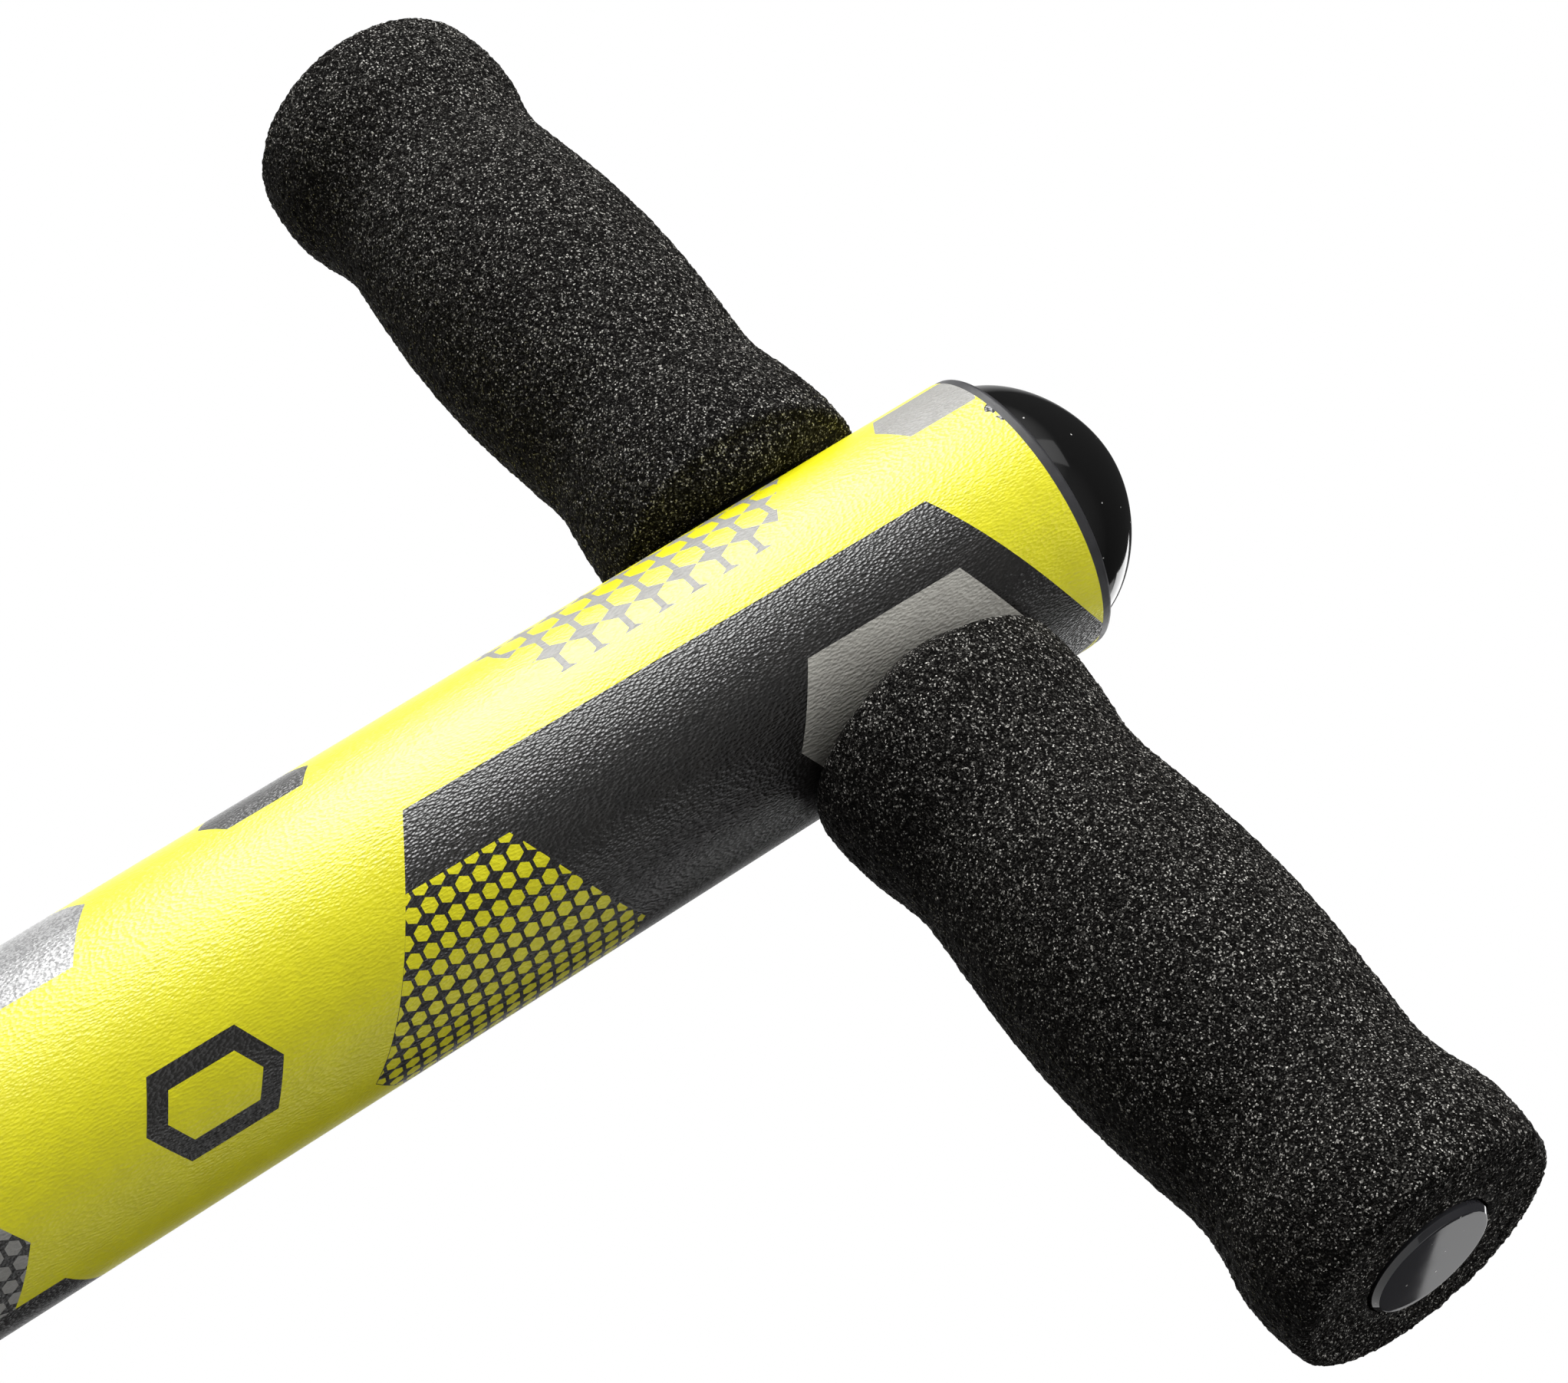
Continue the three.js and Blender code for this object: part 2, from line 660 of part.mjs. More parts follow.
function footBracketGeometry() {
  const plate = () => extrude(bracketPlateShape(), PLATE_INNER_Y, PLATE_OUTER_Y);
  const rear = plate().rotateX(Math.PI / 2).rotateZ(Math.PI);
  const front = plate().rotateX(Math.PI / 2);
  const sleeve = disc(PLATE_OUTER_Y, -19, 19, ROUND_LARGE);
  const stopBar = { width: 8, height: 6, x: PEG_PIVOT_X + 14, z: -PEG_DROP - GAP - 3 };
  const bars = [-1, 1].map((side) => box(
    stopBar.width,
    2 * PLATE_INNER_Y + 1,
    stopBar.height,
    side * stopBar.x,
    0,
    stopBar.z,
  ));
  const boltHoles = [-1, 1].map((side) => {
    const hole = alongY(disc(PEG_BOLT_R + 0.4, -40, 40, ROUND_SMALL));
    return hole.translate(side * PEG_PIVOT_X, 0, 0);
  });
  const tubeBore = disc(PLATE_INNER_Y, -30, 30, ROUND_LARGE);
  return cut(join(sleeve, front, rear, ...bars), tubeBore, ...boltHoles);
}

// Half-width of the peg's outline where it passes between the plates, then
// where it widens under the tread. The inset draws the hollow under it.
function pegOutline(start, inset) {
  const narrow = PEG_HALF_WIDTH - inset;
  const wide = PEG_WIDE_HALF - inset;
  const end = PEG_LENGTH - inset;
  const corner = 9 - inset;
  const shape = new THREE.Shape();
  shape.moveTo(start, -narrow);
  shape.lineTo(TREAD_START - 1, -narrow);
  shape.lineTo(TREAD_START + 5, -wide);
  shape.absarc(end - corner, -wide + corner, corner, -Math.PI / 2, 0, false);
  shape.absarc(end - corner, wide - corner, corner, 0, Math.PI / 2, false);
  shape.lineTo(TREAD_START + 5, wide);
  shape.lineTo(TREAD_START - 1, narrow);
  shape.lineTo(start, narrow);
  shape.closePath();
  return shape;
}

// Peg frame along +X from its pivot: a downward channel with a hinge barrel.
function pegGeometry() {
  const shell = extrude(pegOutline(0, 0), -PEG_DROP, PEG_SHEET);
  const hollow = extrude(pegOutline(-20, PEG_SHEET), -PEG_DROP - 5, 0);
  const cheekInner = PEG_HALF_WIDTH - PEG_SHEET;
  const frontCheek = alongY(disc(PEG_DROP, -PEG_HALF_WIDTH, -cheekInner, 24));
  const rearCheek = alongY(disc(PEG_DROP, cheekInner, PEG_HALF_WIDTH, 24));
  const barrel = alongY(disc(PEG_BARREL_R, -cheekInner - 1, cheekInner + 1, 24));
  const body = join(cut(shell, hollow), frontCheek, rearCheek, barrel);
  const bore = alongY(disc(PEG_BOLT_R + 0.35, -40, 40, ROUND_SMALL));
  const screwHoles = TREAD_SCREW_XS.map((x) => (
    disc(TREAD_SCREW_R + GAP, -2, PEG_SHEET + 2, ROUND_SMALL).translate(x, 0, 0)
  ));
  return cut(body, bore, ...screwHoles);
}

// Ribbed tread pad that lies on the peg frame.
function treadGeometry() {
  const half = PEG_WIDE_HALF;
  const corner = 8;
  const shape = new THREE.Shape();
  shape.moveTo(TREAD_START, -half + 6);
  shape.lineTo(TREAD_START + 6, -half);
  shape.absarc(TREAD_END - corner, -half + corner, corner, -Math.PI / 2, 0, false);
  shape.absarc(TREAD_END - corner, half - corner, corner, 0, Math.PI / 2, false);
  shape.lineTo(TREAD_START + 6, half);
  shape.lineTo(TREAD_START, half - 6);
  shape.closePath();
  const low = PEG_SHEET + GAP;
  const pitch = (TREAD_END - TREAD_START - 12) / (RIDGE_COUNT - 1);
  const ridges = Array.from({ length: RIDGE_COUNT }, (_, index) => {
    const x = TREAD_START + 6 + index * pitch;
    const top = low + TREAD_BASE + RIDGE_HEIGHT / 2;
    return box(RIDGE_WIDTH, 2 * half - 14, RIDGE_HEIGHT + 1, x, 0, top - 0.5);
  });
  const screwHoles = TREAD_SCREW_XS.map((x) => (
    disc(TREAD_SCREW_R + GAP, low - 1, low + 4.5, ROUND_SMALL).translate(x, 0, 0)
  ));
  return cut(join(extrude(shape, low, low + TREAD_BASE), ...ridges), ...screwHoles);
}

function treadScrewGeometry() {
  return revolve([
    [0, -GAP - 2.6],
    [3, -GAP - 2.6],
    [4.4, -GAP - 1.4],
    [4.4, -GAP],
    [TREAD_SCREW_R, -GAP],
    [TREAD_SCREW_R, PEG_SHEET + GAP + 4],
    [0, PEG_SHEET + GAP + 4],
  ], ROUND_SMALL);
}

// Everything at one peg. The left side is the right side turned half round.
function pegSide(group, side, turn) {
  const sideGroup = new THREE.Group();
  sideGroup.rotation.z = turn;
  group.add(sideGroup);
  const pivot = [PEG_PIVOT_X, 0, PEG_PIVOT_Z];
  const seat = PLATE_OUTER_Y + GAP;
  const bolt = hexBoltGeometry(PEG_BOLT_R, 7.5, -seat - 6, -seat, seat + 6);
  const nut = hexNutGeometry(PEG_BOLT_R, 7.5, seat, seat + 5.5);
  piece(sideGroup, `peg_bolt_${side}`, bolt, STEEL_PLATED, pivot);
  piece(sideGroup, `peg_nut_${side}`, nut, STEEL_PLATED, pivot);
  piece(sideGroup, `peg_${side}`, pegGeometry(), PAINT_BLACK, pivot);
  piece(sideGroup, `tread_${side}`, treadGeometry(), RUBBER_BLACK, pivot);
  TREAD_SCREW_XS.forEach((x, index) => {
    const at = [PEG_PIVOT_X + x, 0, PEG_PIVOT_Z];
    const name = `tread_screw_${side}_${index + 1}`;
    piece(sideGroup, name, treadScrewGeometry(), STEEL_PLATED, at);
  });
}

function footPegs(group) {
  piece(group, "foot_bracket", footBracketGeometry(), PAINT_BLACK, [0, 0, PEG_PIVOT_Z]);
  pegSide(group, "right", 0);
  pegSide(group, "left", Math.PI);
}

// ---- Assembly --------------------------------------------------------------

const pogoStick = new THREE.Group();
pogoStick.name = "pogo_stick";

topCap(pogoStick);
handlebar(pogoStick);
springAndStop(pogoStick);
lowerEnd(pogoStick);
footPegs(pogoStick);
plunger(pogoStick);

export default pogoStick;
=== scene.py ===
from math import asin, atan2, cos, degrees, floor, hypot, pi, radians, sin, sqrt, tan

import bmesh
import bpy
import numpy as np
from mathutils import Matrix, Vector
from mathutils.geometry import delaunay_2d_cdt


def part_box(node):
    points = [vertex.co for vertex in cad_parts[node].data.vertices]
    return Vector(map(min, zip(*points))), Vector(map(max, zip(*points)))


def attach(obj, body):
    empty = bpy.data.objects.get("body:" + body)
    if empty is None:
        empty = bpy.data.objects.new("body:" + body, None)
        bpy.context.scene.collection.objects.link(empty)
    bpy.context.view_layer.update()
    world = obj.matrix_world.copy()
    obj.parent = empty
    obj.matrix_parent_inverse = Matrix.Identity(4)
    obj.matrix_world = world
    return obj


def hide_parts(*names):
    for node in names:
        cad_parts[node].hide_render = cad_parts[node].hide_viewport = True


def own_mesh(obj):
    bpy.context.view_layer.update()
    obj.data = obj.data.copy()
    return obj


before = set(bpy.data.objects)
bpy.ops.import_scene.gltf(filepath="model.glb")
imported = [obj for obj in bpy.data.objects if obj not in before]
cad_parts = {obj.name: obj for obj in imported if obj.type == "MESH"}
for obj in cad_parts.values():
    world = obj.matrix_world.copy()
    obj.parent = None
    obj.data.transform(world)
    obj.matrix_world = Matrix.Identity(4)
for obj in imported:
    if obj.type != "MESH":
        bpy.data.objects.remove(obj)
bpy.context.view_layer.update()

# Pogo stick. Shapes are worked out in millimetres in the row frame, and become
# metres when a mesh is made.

SCENE = bpy.context.scene
MM = 0.001
X, Y, Z = 0, 1, 2
SIDES = (("right", 1), ("left", -1))


# ---- Sizes read from the frame ----

def low(node, axis):
    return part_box(node)[0][axis] / MM


def high(node, axis):
    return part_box(node)[1][axis] / MM


def span(node, axis=Z):
    return low(node, axis), high(node, axis)


def middle(node):
    return sum(span(node)) / 2


TUBE_LOW, TOP = span("outer_tube")
TUBE_R = high("outer_tube", X)
TUBE_WALL = 1.7
FILM_R = TUBE_R + 0.1
BAR_Z = middle("handlebar_tube")
BAR_R = high("handlebar_tube", Y)
PLUNGER_R = high("plunger_tube", X)
PIVOT_X = high("foot_bracket", X) - 19
PIVOT_Z = middle("foot_bracket")
STOP_BOLT_Z = middle("stop_bolt")
COLLAR_SCREW_Z = middle("collar_screw_1")
COLLAR_SCREWS = {f"collar_screw_{count}": 120 * count - 30 for count in (1, 2, 3)}
BOLT_R = 4.0
BOLT_FLAT = 6.5  # from a bolt's axis to a flat of its head
BAR_SCREW_R = 3.0
RIVET_R = 4.7
SCREW_R = 2.4
GAP = 0.3  # clearance round a fastener and between pieces
THROUGH = 40  # a reach past the tube's and the pegs' far sides


# ---- Shape helpers ----

def arc(x, y, radius, start, end, steps=16):
    """Points round a centre, with angles in degrees."""
    turns = [radians(start + (end - start) * step / steps) for step in range(steps + 1)]
    return [(x + radius * cos(turn), y + radius * sin(turn)) for turn in turns]


def rounded(corners, closed=False, steps=6):
    """An outline from (x, y, fillet radius) corners, with arcs at the fillets."""
    outline = []
    count = len(corners)
    for index, (x, y, radius) in enumerate(corners):
        if radius == 0 or not closed and index in (0, count - 1):
            outline.append((x, y))
            continue
        here = Vector((x, y))
        before = Vector(corners[index - 1][:2]) - here
        after = Vector(corners[(index + 1) % count][:2]) - here
        half = before.angle(after) / 2
        reach = min(radius / tan(half), 0.49 * before.length, 0.49 * after.length)
        before.normalize()
        after.normalize()
        centre = here + (before + after).normalized() * (reach / cos(half))
        start = here + before * reach - centre
        end = here + after * reach - centre
        first = degrees(atan2(start.y, start.x))
        sweep = (degrees(atan2(end.y, end.x)) - first + 180) % 360 - 180
        outline += arc(centre.x, centre.y, start.length, first, first + sweep, steps)
    if closed:
        outline.append(outline[0])
    return outline


def wall(inner, outer, ends, fillets, steps=6):
    """The section of a tube's wall, with a fillet for each corner."""
    corners = zip((inner, outer, outer, inner), np.repeat(ends, 2).tolist(), fillets)
    return rounded(list(corners), closed=True, steps=steps)


def rod(radius, ends, fillet):
    """Half the section of a solid rod."""
    return rounded([(0, ends[0], 0), (radius, ends[0], fillet), (radius, ends[1], fillet),
                    (0, ends[1], 0)])


def slab(half_x, half_y, fillet, steps):
    """The outline of a rectangle round the origin."""
    signs = ((-1, -1), (1, -1), (1, 1), (-1, 1))
    return rounded([(x * half_x, y * half_y, fillet) for x, y in signs], True, steps)


def bridge(rows):
    """Faces between successive loops of vertices; a loop may be one point."""
    faces = []
    for lower, upper in zip(rows, rows[1:]):
        count = max(len(lower), len(upper))
        for step in range(count):
            after = (step + 1) % count
            corners = (lower[step % len(lower)], lower[after % len(lower)],
                       upper[after % len(upper)], upper[step % len(upper)])
            faces.append(tuple(dict.fromkeys(corners)))
    return faces


def lathe(outline, facets=96):
    """A solid of revolution about +Z, from rows of (radius, z). A row's third
    item, if any, gives the most that its radius may be by direction."""
    closed = tuple(outline[0]) == tuple(outline[-1])
    turns = [2 * pi * step / facets for step in range(facets)]
    vertices, rows = [], []
    for radius, z, *limit in outline[:-1] if closed else outline:
        start = len(vertices)
        for turn in turns if radius > 0 else turns[:1]:
            reach = min(radius, limit[0](turn)) if limit else radius
            vertices.append((reach * cos(turn), reach * sin(turn), z))
        rows.append(range(start, len(vertices)))
    if closed:
        rows.append(rows[0])
    return vertices, bridge(rows)


def prism(outline, bottom, top, bevel=0.6, steps=3):
    """A plate in the XY plane between two heights, with rounded edges."""
    points = [Vector(point) for point in outline]
    if (points[0] - points[-1]).length < 1e-6:
        points.pop()
    count = len(points)
    if sum(points[i - 1].cross(points[i]) for i in range(count)) < 0:
        points.reverse()
    sides = [(points[i] - points[i - 1]).normalized().orthogonal() for i in range(count)]
    inward = []
    for before, after in zip(sides, sides[1:] + sides[:1]):
        normal = (before + after).normalized()
        inward.append(normal / max(0.4, normal.dot(before)))
    rings = []
    for step in range(steps + 1):
        angle = pi / 2 * step / steps
        rings.append((bevel * (1 - sin(angle)), bottom + bevel * (1 - cos(angle))))
    rings += [(inset, bottom + top - z) for inset, z in reversed(rings)]
    vertices, rows = [], []
    for inset, z in rings:
        rows.append(range(len(vertices), len(vertices) + count))
        vertices += [(*(p + n * inset), z) for p, n in zip(points, inward)]
    return vertices, bridge(rows) + [tuple(reversed(rows[0])), tuple(rows[-1])]


def along(axis, x=0.0, y=0.0, z=0.0):
    """A placement that turns +Z to the named axis, then moves."""
    angle, about = {
        "+X": (90, "Y"), "-X": (-90, "Y"), "+Y": (-90, "X"), "-Y": (90, "X"), "+Z": (0, "X"),
    }[axis]
    return Matrix.Translation((x, y, z)) @ Matrix.Rotation(radians(angle), 4, about)


def outward(angle, z):
    """A placement that turns +Z outward from the tube, by degrees round it."""
    return Matrix.Rotation(radians(angle), 4, "Z") @ along("+X", z=z)


def put(shell, place):
    """A shell, moved by a placement."""
    vertices, faces = shell
    return [tuple(place @ Vector(vertex)) for vertex in vertices], faces


def join(shells):
    vertices, faces = [], []
    for points, sides in shells:
        start = len(vertices)
        vertices += points
        faces += [tuple(start + index for index in side) for side in sides]
    return vertices, faces


def new_object(name, data):
    obj = bpy.data.objects.new(name, data)
    SCENE.collection.objects.link(obj)
    return obj


def solid(name, shell):
    """An object from a closed shell, with its faces turned outward."""
    vertices, faces = shell
    mesh = bpy.data.meshes.new(name)
    mesh.from_pydata((np.array(vertices) * MM).tolist(), [], faces)
    shape = bmesh.new()
    shape.from_mesh(mesh)
    bmesh.ops.recalc_face_normals(shape, faces=shape.faces)
    shape.to_mesh(mesh)
    shape.free()
    return new_object(name, mesh)


def piece(name, look, node, shell, place=None, body="frame", sharp=40):
    """A visible piece that stands for a CAD node."""
    slot, paint = look
    obj = solid(name, put(shell, place) if place else shell)
    obj.data.materials.append(paint.material)
    obj.data.shade_smooth()
    obj.data.set_sharp_from_angle(angle=radians(sharp))
    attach(obj, body)
    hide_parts(node)
    return obj


def drill(obj, *holes):
    """Cuts round holes: each is (placement, radius), and its ends if not through."""
    rods = []
    for place, radius, *ends in holes:
        start, end = ends or (-THROUGH, THROUGH)
        rods.append(put(lathe(rod(radius, (start, end), 0), 48), place))
    cutter = solid("cutter", join(rods))
    cut = obj.modifiers.new("holes", "BOOLEAN")
    cut.operation = "DIFFERENCE"
    cut.solver = "EXACT"
    cut.use_self = True
    cut.object = cutter
    graph = bpy.context.evaluated_depsgraph_get()
    result = bpy.data.meshes.new_from_object(obj.evaluated_get(graph))
    obj.modifiers.remove(cut)
    obj.data = result
    bpy.data.objects.remove(cutter)
    result.set_sharp_from_angle(angle=radians(40))


# ---- Camera, light and floor ----

VIEW_AZIMUTH = 31.95
VIEW_ELEVATION = -17.17
VIEW_ROLL = radians(58.13)
VIEW_DISTANCE = 638.1
AIM_LEFT = 39.1  # from the tube's top centre, across the view
AIM_DOWN = 30.0
LENS = 87.73
SENSOR = 36.0


def direction(azimuth, elevation):
    """A unit vector, by degrees round from +X and up."""
    turn, rise = radians(azimuth), radians(elevation)
    across = cos(rise)
    return Vector((cos(turn) * across, sin(turn) * across, sin(rise)))


def frame_of(x, y, z, spot):
    """A placement from its axes and its origin."""
    place = Matrix((x, y, z)).transposed().to_4x4()
    place.translation = spot
    return place


def add_camera():
    back = direction(VIEW_AZIMUTH - 90, VIEW_ELEVATION)
    level = direction(VIEW_AZIMUTH, 0)
    upright = back.cross(level)
    right = level * cos(VIEW_ROLL) + upright * sin(VIEW_ROLL)
    up = upright * cos(VIEW_ROLL) - level * sin(VIEW_ROLL)
    aim = Vector((0, 0, TOP)) - right * AIM_LEFT - up * AIM_DOWN
    data = bpy.data.cameras.new("camera")
    data.lens = LENS
    data.sensor_width = SENSOR
    data.clip_start = 0.02
    camera = new_object("camera", data)
    camera.matrix_world = frame_of(right, up, back, (aim + back * VIEW_DISTANCE) * MM)
    SCENE.camera = camera


def softbox(name, azimuth, elevation, distance, size, power, aim=(0, 0, 0.93), gloss=True):
    """A rectangular lamp that faces a point, by its direction from there."""
    away = direction(azimuth, elevation)
    data = bpy.data.lights.new(name, "AREA")
    data.shape = "RECTANGLE"
    data.size, data.size_y = size
    data.energy = power
    lamp = new_object(name, data)
    lamp.matrix_world = away.to_track_quat("Z", "Y").to_matrix().to_4x4()
    lamp.location = Vector(aim) + away * distance
    lamp.visible_camera = False
    lamp.visible_glossy = gloss
    return lamp


def add_lamps():
    softbox("key", -134, 13, 1.1, (1.4, 0.45), 23)
    softbox("top", -92, 45, 1.2, (0.42, 0.8), 0.9)
    softbox("cap_edge", 88, 33, 0.7, (0.3, 0.25), 0.7, aim=(0, 0, TOP * MM))
    softbox("front", -30, 45, 0.9, (0.6, 0.6), 4, aim=(0, 0, 0.98), gloss=False)
    softbox("rear", 110, 10, 1.6, (1.0, 1.2), 16, gloss=False)
    softbox("overhead", 0, 88, 3.0, (6.0, 6.0), 70, gloss=False)
    # A card that shows in the right end plug, cut off along one straight edge.
    card = softbox("card", 81.3, 26.3, 0.645, (0.25, 0.35), 0.24, aim=(0.1468, 0, BAR_Z * MM))
    lit, edge = Vector((-0.831, 0.068, 0.551)), Vector((0.465, -0.458, 0.758))
    card.matrix_world = frame_of(lit, edge, lit.cross(edge), card.location.copy())


def add_node(tree, kind, *inputs, **settings):
    """A new shader node. Each input is a socket with its value or its link."""
    node = tree.nodes.new("ShaderNode" + kind)
    for setting, value in settings.items():
        setattr(node, setting, value)
    for socket, value in inputs:
        if isinstance(value, bpy.types.NodeSocket):
            tree.links.new(value, node.inputs[socket])
        else:
            node.inputs[socket].default_value = value
    return node


# Direction, cosines from it where the light starts and is full, full strength,
# and the strength everywhere else.
ROOM_LIGHTS = (
    ((-0.53, 0.845, 0.087), 0.9, 0.98, 1.0, 0.03),
    ((0.857, 0.456, 0.242), 0.972, 0.995, 1.9, 0.0),
    ((0.807, -0.565, 0.174), 0.4, 0.95, 0.2, 0.0),
    ((-0.332, -0.912, 0.242), 0.62, 0.97, 0.8, 0.0),
    ((-0.847, 0.529, 0.052), 0.8, 0.97, 0.95, 0.0),
)


def add_world():
    """White to the eye; to the light, a dark room with a lit white backdrop."""
    world = bpy.data.worlds.new("studio")
    SCENE.world = world
    world.use_nodes = True
    tree = world.node_tree
    tree.nodes.clear()

    def add(kind, *inputs, **settings):
        return add_node(tree, kind, *inputs, **settings).outputs

    place = add("TexCoord")["Generated"]
    light = 0.0
    for away, start, full, level, base in ROOM_LIGHTS:
        toward = add("VectorMath", (0, place), (1, away), operation="DOT_PRODUCT")["Value"]
        lobe = add("MapRange", ("Value", toward), ("From Min", start), ("From Max", full),
                   ("To Min", base), ("To Max", level))[0]
        light = add("Math", (0, light), (1, lobe), operation="ADD")[0]
    white = ("Color", (1.0, 1.0, 1.0, 1.0))
    room = add("Background", white, ("Strength", light))[0]
    seen = add("Background", white)[0]
    eye = add("LightPath")["Is Camera Ray"]
    add("OutputWorld", ("Surface", add("MixShader", ("Fac", eye), (1, room), (2, seen))[0]))


FLOOR_HALF = 15000


def add_floor():
    floor = solid("floor", prism(slab(FLOOR_HALF, FLOOR_HALF, 0, 1), -20, 0, bevel=2))
    paint = Paint("pale_floor", 0.4, 0.9, Emission_Strength=0.71)
    paint.mottle(3.0, 0.39, 0.41)
    floor.data.materials.append(paint.material)
    floor.visible_diffuse = False


# ---- Materials ----

def tint(color):
    """A colour with its alpha; one number is a neutral grey."""
    return (*((color,) * 3 if isinstance(color, float) else color), 1)


class Paint:
    """A node-based material round one Principled shader."""

    def __init__(self, name, color, roughness, metallic=0.0, **sockets):
        self.material = bpy.data.materials.new(name)
        self.material.use_nodes = True
        self.tree = self.material.node_tree
        self.shader = self.tree.nodes["Principled BSDF"]
        sockets.update(Base_Color=tint(color), Roughness=roughness, Metallic=metallic)
        for socket, value in sockets.items():
            self.shader.inputs[socket.replace("_", " ")].default_value = value
        self.place = self.add("TexCoord").outputs["Object"]

    def add(self, kind, *inputs):
        return add_node(self.tree, kind, *inputs)

    def stretched(self, x, y, z):
        """The place scaled by axis, for grain longer one way."""
        return self.add("Mapping", ("Scale", (x, y, z)), ("Vector", self.place)).outputs["Vector"]

    def noise(self, scale, detail=2.0, rough=0.5, place=None):
        return self.add("TexNoise", ("Scale", scale), ("Detail", detail), ("Roughness", rough),
                        ("Vector", place or self.place)).outputs["Fac"]

    def cells(self, scale, output="Distance", place=None):
        return self.add("TexVoronoi", ("Scale", scale),
                        ("Vector", place or self.place)).outputs[output]

    def ramp(self, factor, stops, socket):
        """Colours into a socket, from (position, color) stops."""
        node = self.add("ValToRGB", ("Fac", factor))
        elements = node.color_ramp.elements
        while len(elements) < len(stops):
            elements.new(0.5)
        for element, (position, color) in zip(elements, stops):
            element.position = position
            element.color = tint(color)
        self.tree.links.new(node.outputs["Color"], self.shader.inputs[socket])

    def mottle(self, scale, dark, light, socket="Base Color"):
        self.ramp(self.noise(scale, 3.0), [(0.35, dark), (0.65, light)], socket)

    def gloss(self, scale, smooth, rough):
        self.mottle(scale, smooth, rough, "Roughness")

    def bump(self, height, depth):
        """Relief of about depth metres; calls stack on one another."""
        node = self.add("Bump", ("Strength", 1.0), ("Distance", depth), ("Height", height))
        normal = self.shader.inputs["Normal"]
        if normal.is_linked:
            self.tree.links.new(normal.links[0].from_socket, node.inputs["Normal"])
        self.tree.links.new(node.outputs["Normal"], normal)


FILM_GRAIN = 2500.0  # features per metre round the tube
FILM_RELIEF = 0.00014


def film_ink(name, dark, light, roughness, metallic=0.0, relief=FILM_RELIEF):
    """An ink over the film's fine pressed grain, which a thick ink partly fills."""
    paint = Paint(name, light, roughness, metallic, Specular_IOR_Level=0.7)
    paint.mottle(260.0, dark, light)
    grain = paint.stretched(1.0, 1.0, 0.5)
    paint.bump(paint.cells(FILM_GRAIN, "Distance", grain), relief)
    paint.bump(paint.noise(0.8 * FILM_GRAIN, 2.0, 0.5, grain), 0.35 * relief)
    return paint


def silver_ink():
    """Glitter: small flakes that each catch the light at their own tilt."""
    paint = film_ink("ink_silver", 0.3, 0.4, 0.34, 0.35, 0.4 * FILM_RELIEF)
    flakes = paint.cells(2600.0, "Color")
    paint.ramp(flakes, [(0.25, 0.2), (0.9, 0.45)], "Base Color")
    paint.bump(flakes, 0.00006)
    return paint


def foam_paint():
    """Closed-cell foam: matt black, with painted glints, a pale base colour on the odd cell."""
    paint = Paint("black_foam", 0.008, 0.5, Specular_IOR_Level=0.008)
    # Base colour: near black, with the top stops as painted glints. Pale cells stand in for the
    # sparkle of light off the foam's cell walls.
    paint.ramp(paint.cells(4000.0, "Color"), [
        (0.0, 0.001), (0.6, (0.008, 0.0075, 0.007)),
        (0.78, (0.055, 0.053, 0.049)), (0.95, (0.54, 0.525, 0.49)),
    ], "Base Color")
    paint.bump(paint.cells(1500.0), 0.0003)
    paint.bump(paint.cells(3900.0), 0.0002)
    return paint


def dusty_gloss(name, color, roughness, wave):
    """Smooth moulded plastic with a few specks of dust and faint flow marks."""
    paint = Paint(name, color, roughness)
    dust = (0.5, 0.5, 0.48)
    paint.ramp(paint.cells(360.0), [(0.0, dust), (0.06, dust), (0.075, color)], "Base Color")
    paint.gloss(120.0, roughness * 0.8, roughness * 1.5)
    paint.bump(paint.noise(90.0), wave)
    return paint


def moulded(name, dark, light, roughness):
    """Matt moulded plastic or rubber with a fine spark-eroded grain."""
    paint = Paint(name, light, roughness)
    paint.mottle(160.0, dark, light)
    paint.gloss(500.0, roughness * 0.85, min(1.0, roughness * 1.15))
    paint.bump(paint.noise(1400.0, 3.0), 0.00005)
    return paint


def powder_coat(name, dark, light, roughness):
    """Soft orange peel under a fine texture."""
    paint = Paint(name, light, roughness)
    paint.mottle(300.0, dark, light)
    paint.bump(paint.noise(450.0), 0.00006)
    paint.bump(paint.noise(2200.0), 0.00002)
    return paint


def plated(name, dark, light, roughness):
    """Plated or bare steel with drawn lines and slight clouding."""
    paint = Paint(name, light, roughness, 1.0)
    paint.mottle(70.0, dark, light)
    paint.gloss(220.0, roughness * 0.7, roughness * 1.3)
    paint.bump(paint.noise(1.0, 3.0, 0.6, paint.stretched(900.0, 900.0, 60.0)), 0.00001)
    return paint


INKS = [
    film_ink("film_yellow", (0.685, 0.64, 0.0), (0.735, 0.69, 0.0), 0.33,
             relief=0.6 * FILM_RELIEF),
    film_ink("ink_black", (0.006, 0.0055, 0.005), (0.010, 0.009, 0.008), 0.27),
    film_ink("ink_grey", (0.31, 0.3, 0.27), (0.35, 0.34, 0.305), 0.36),
    film_ink("ink_light_grey", (0.22, 0.215, 0.2), (0.25, 0.245, 0.23), 0.5),
    silver_ink(),
]
YELLOW, BLACK, GREY, LIGHT, SILVER = range(len(INKS))
HOLE = -1  # where the film is cut away

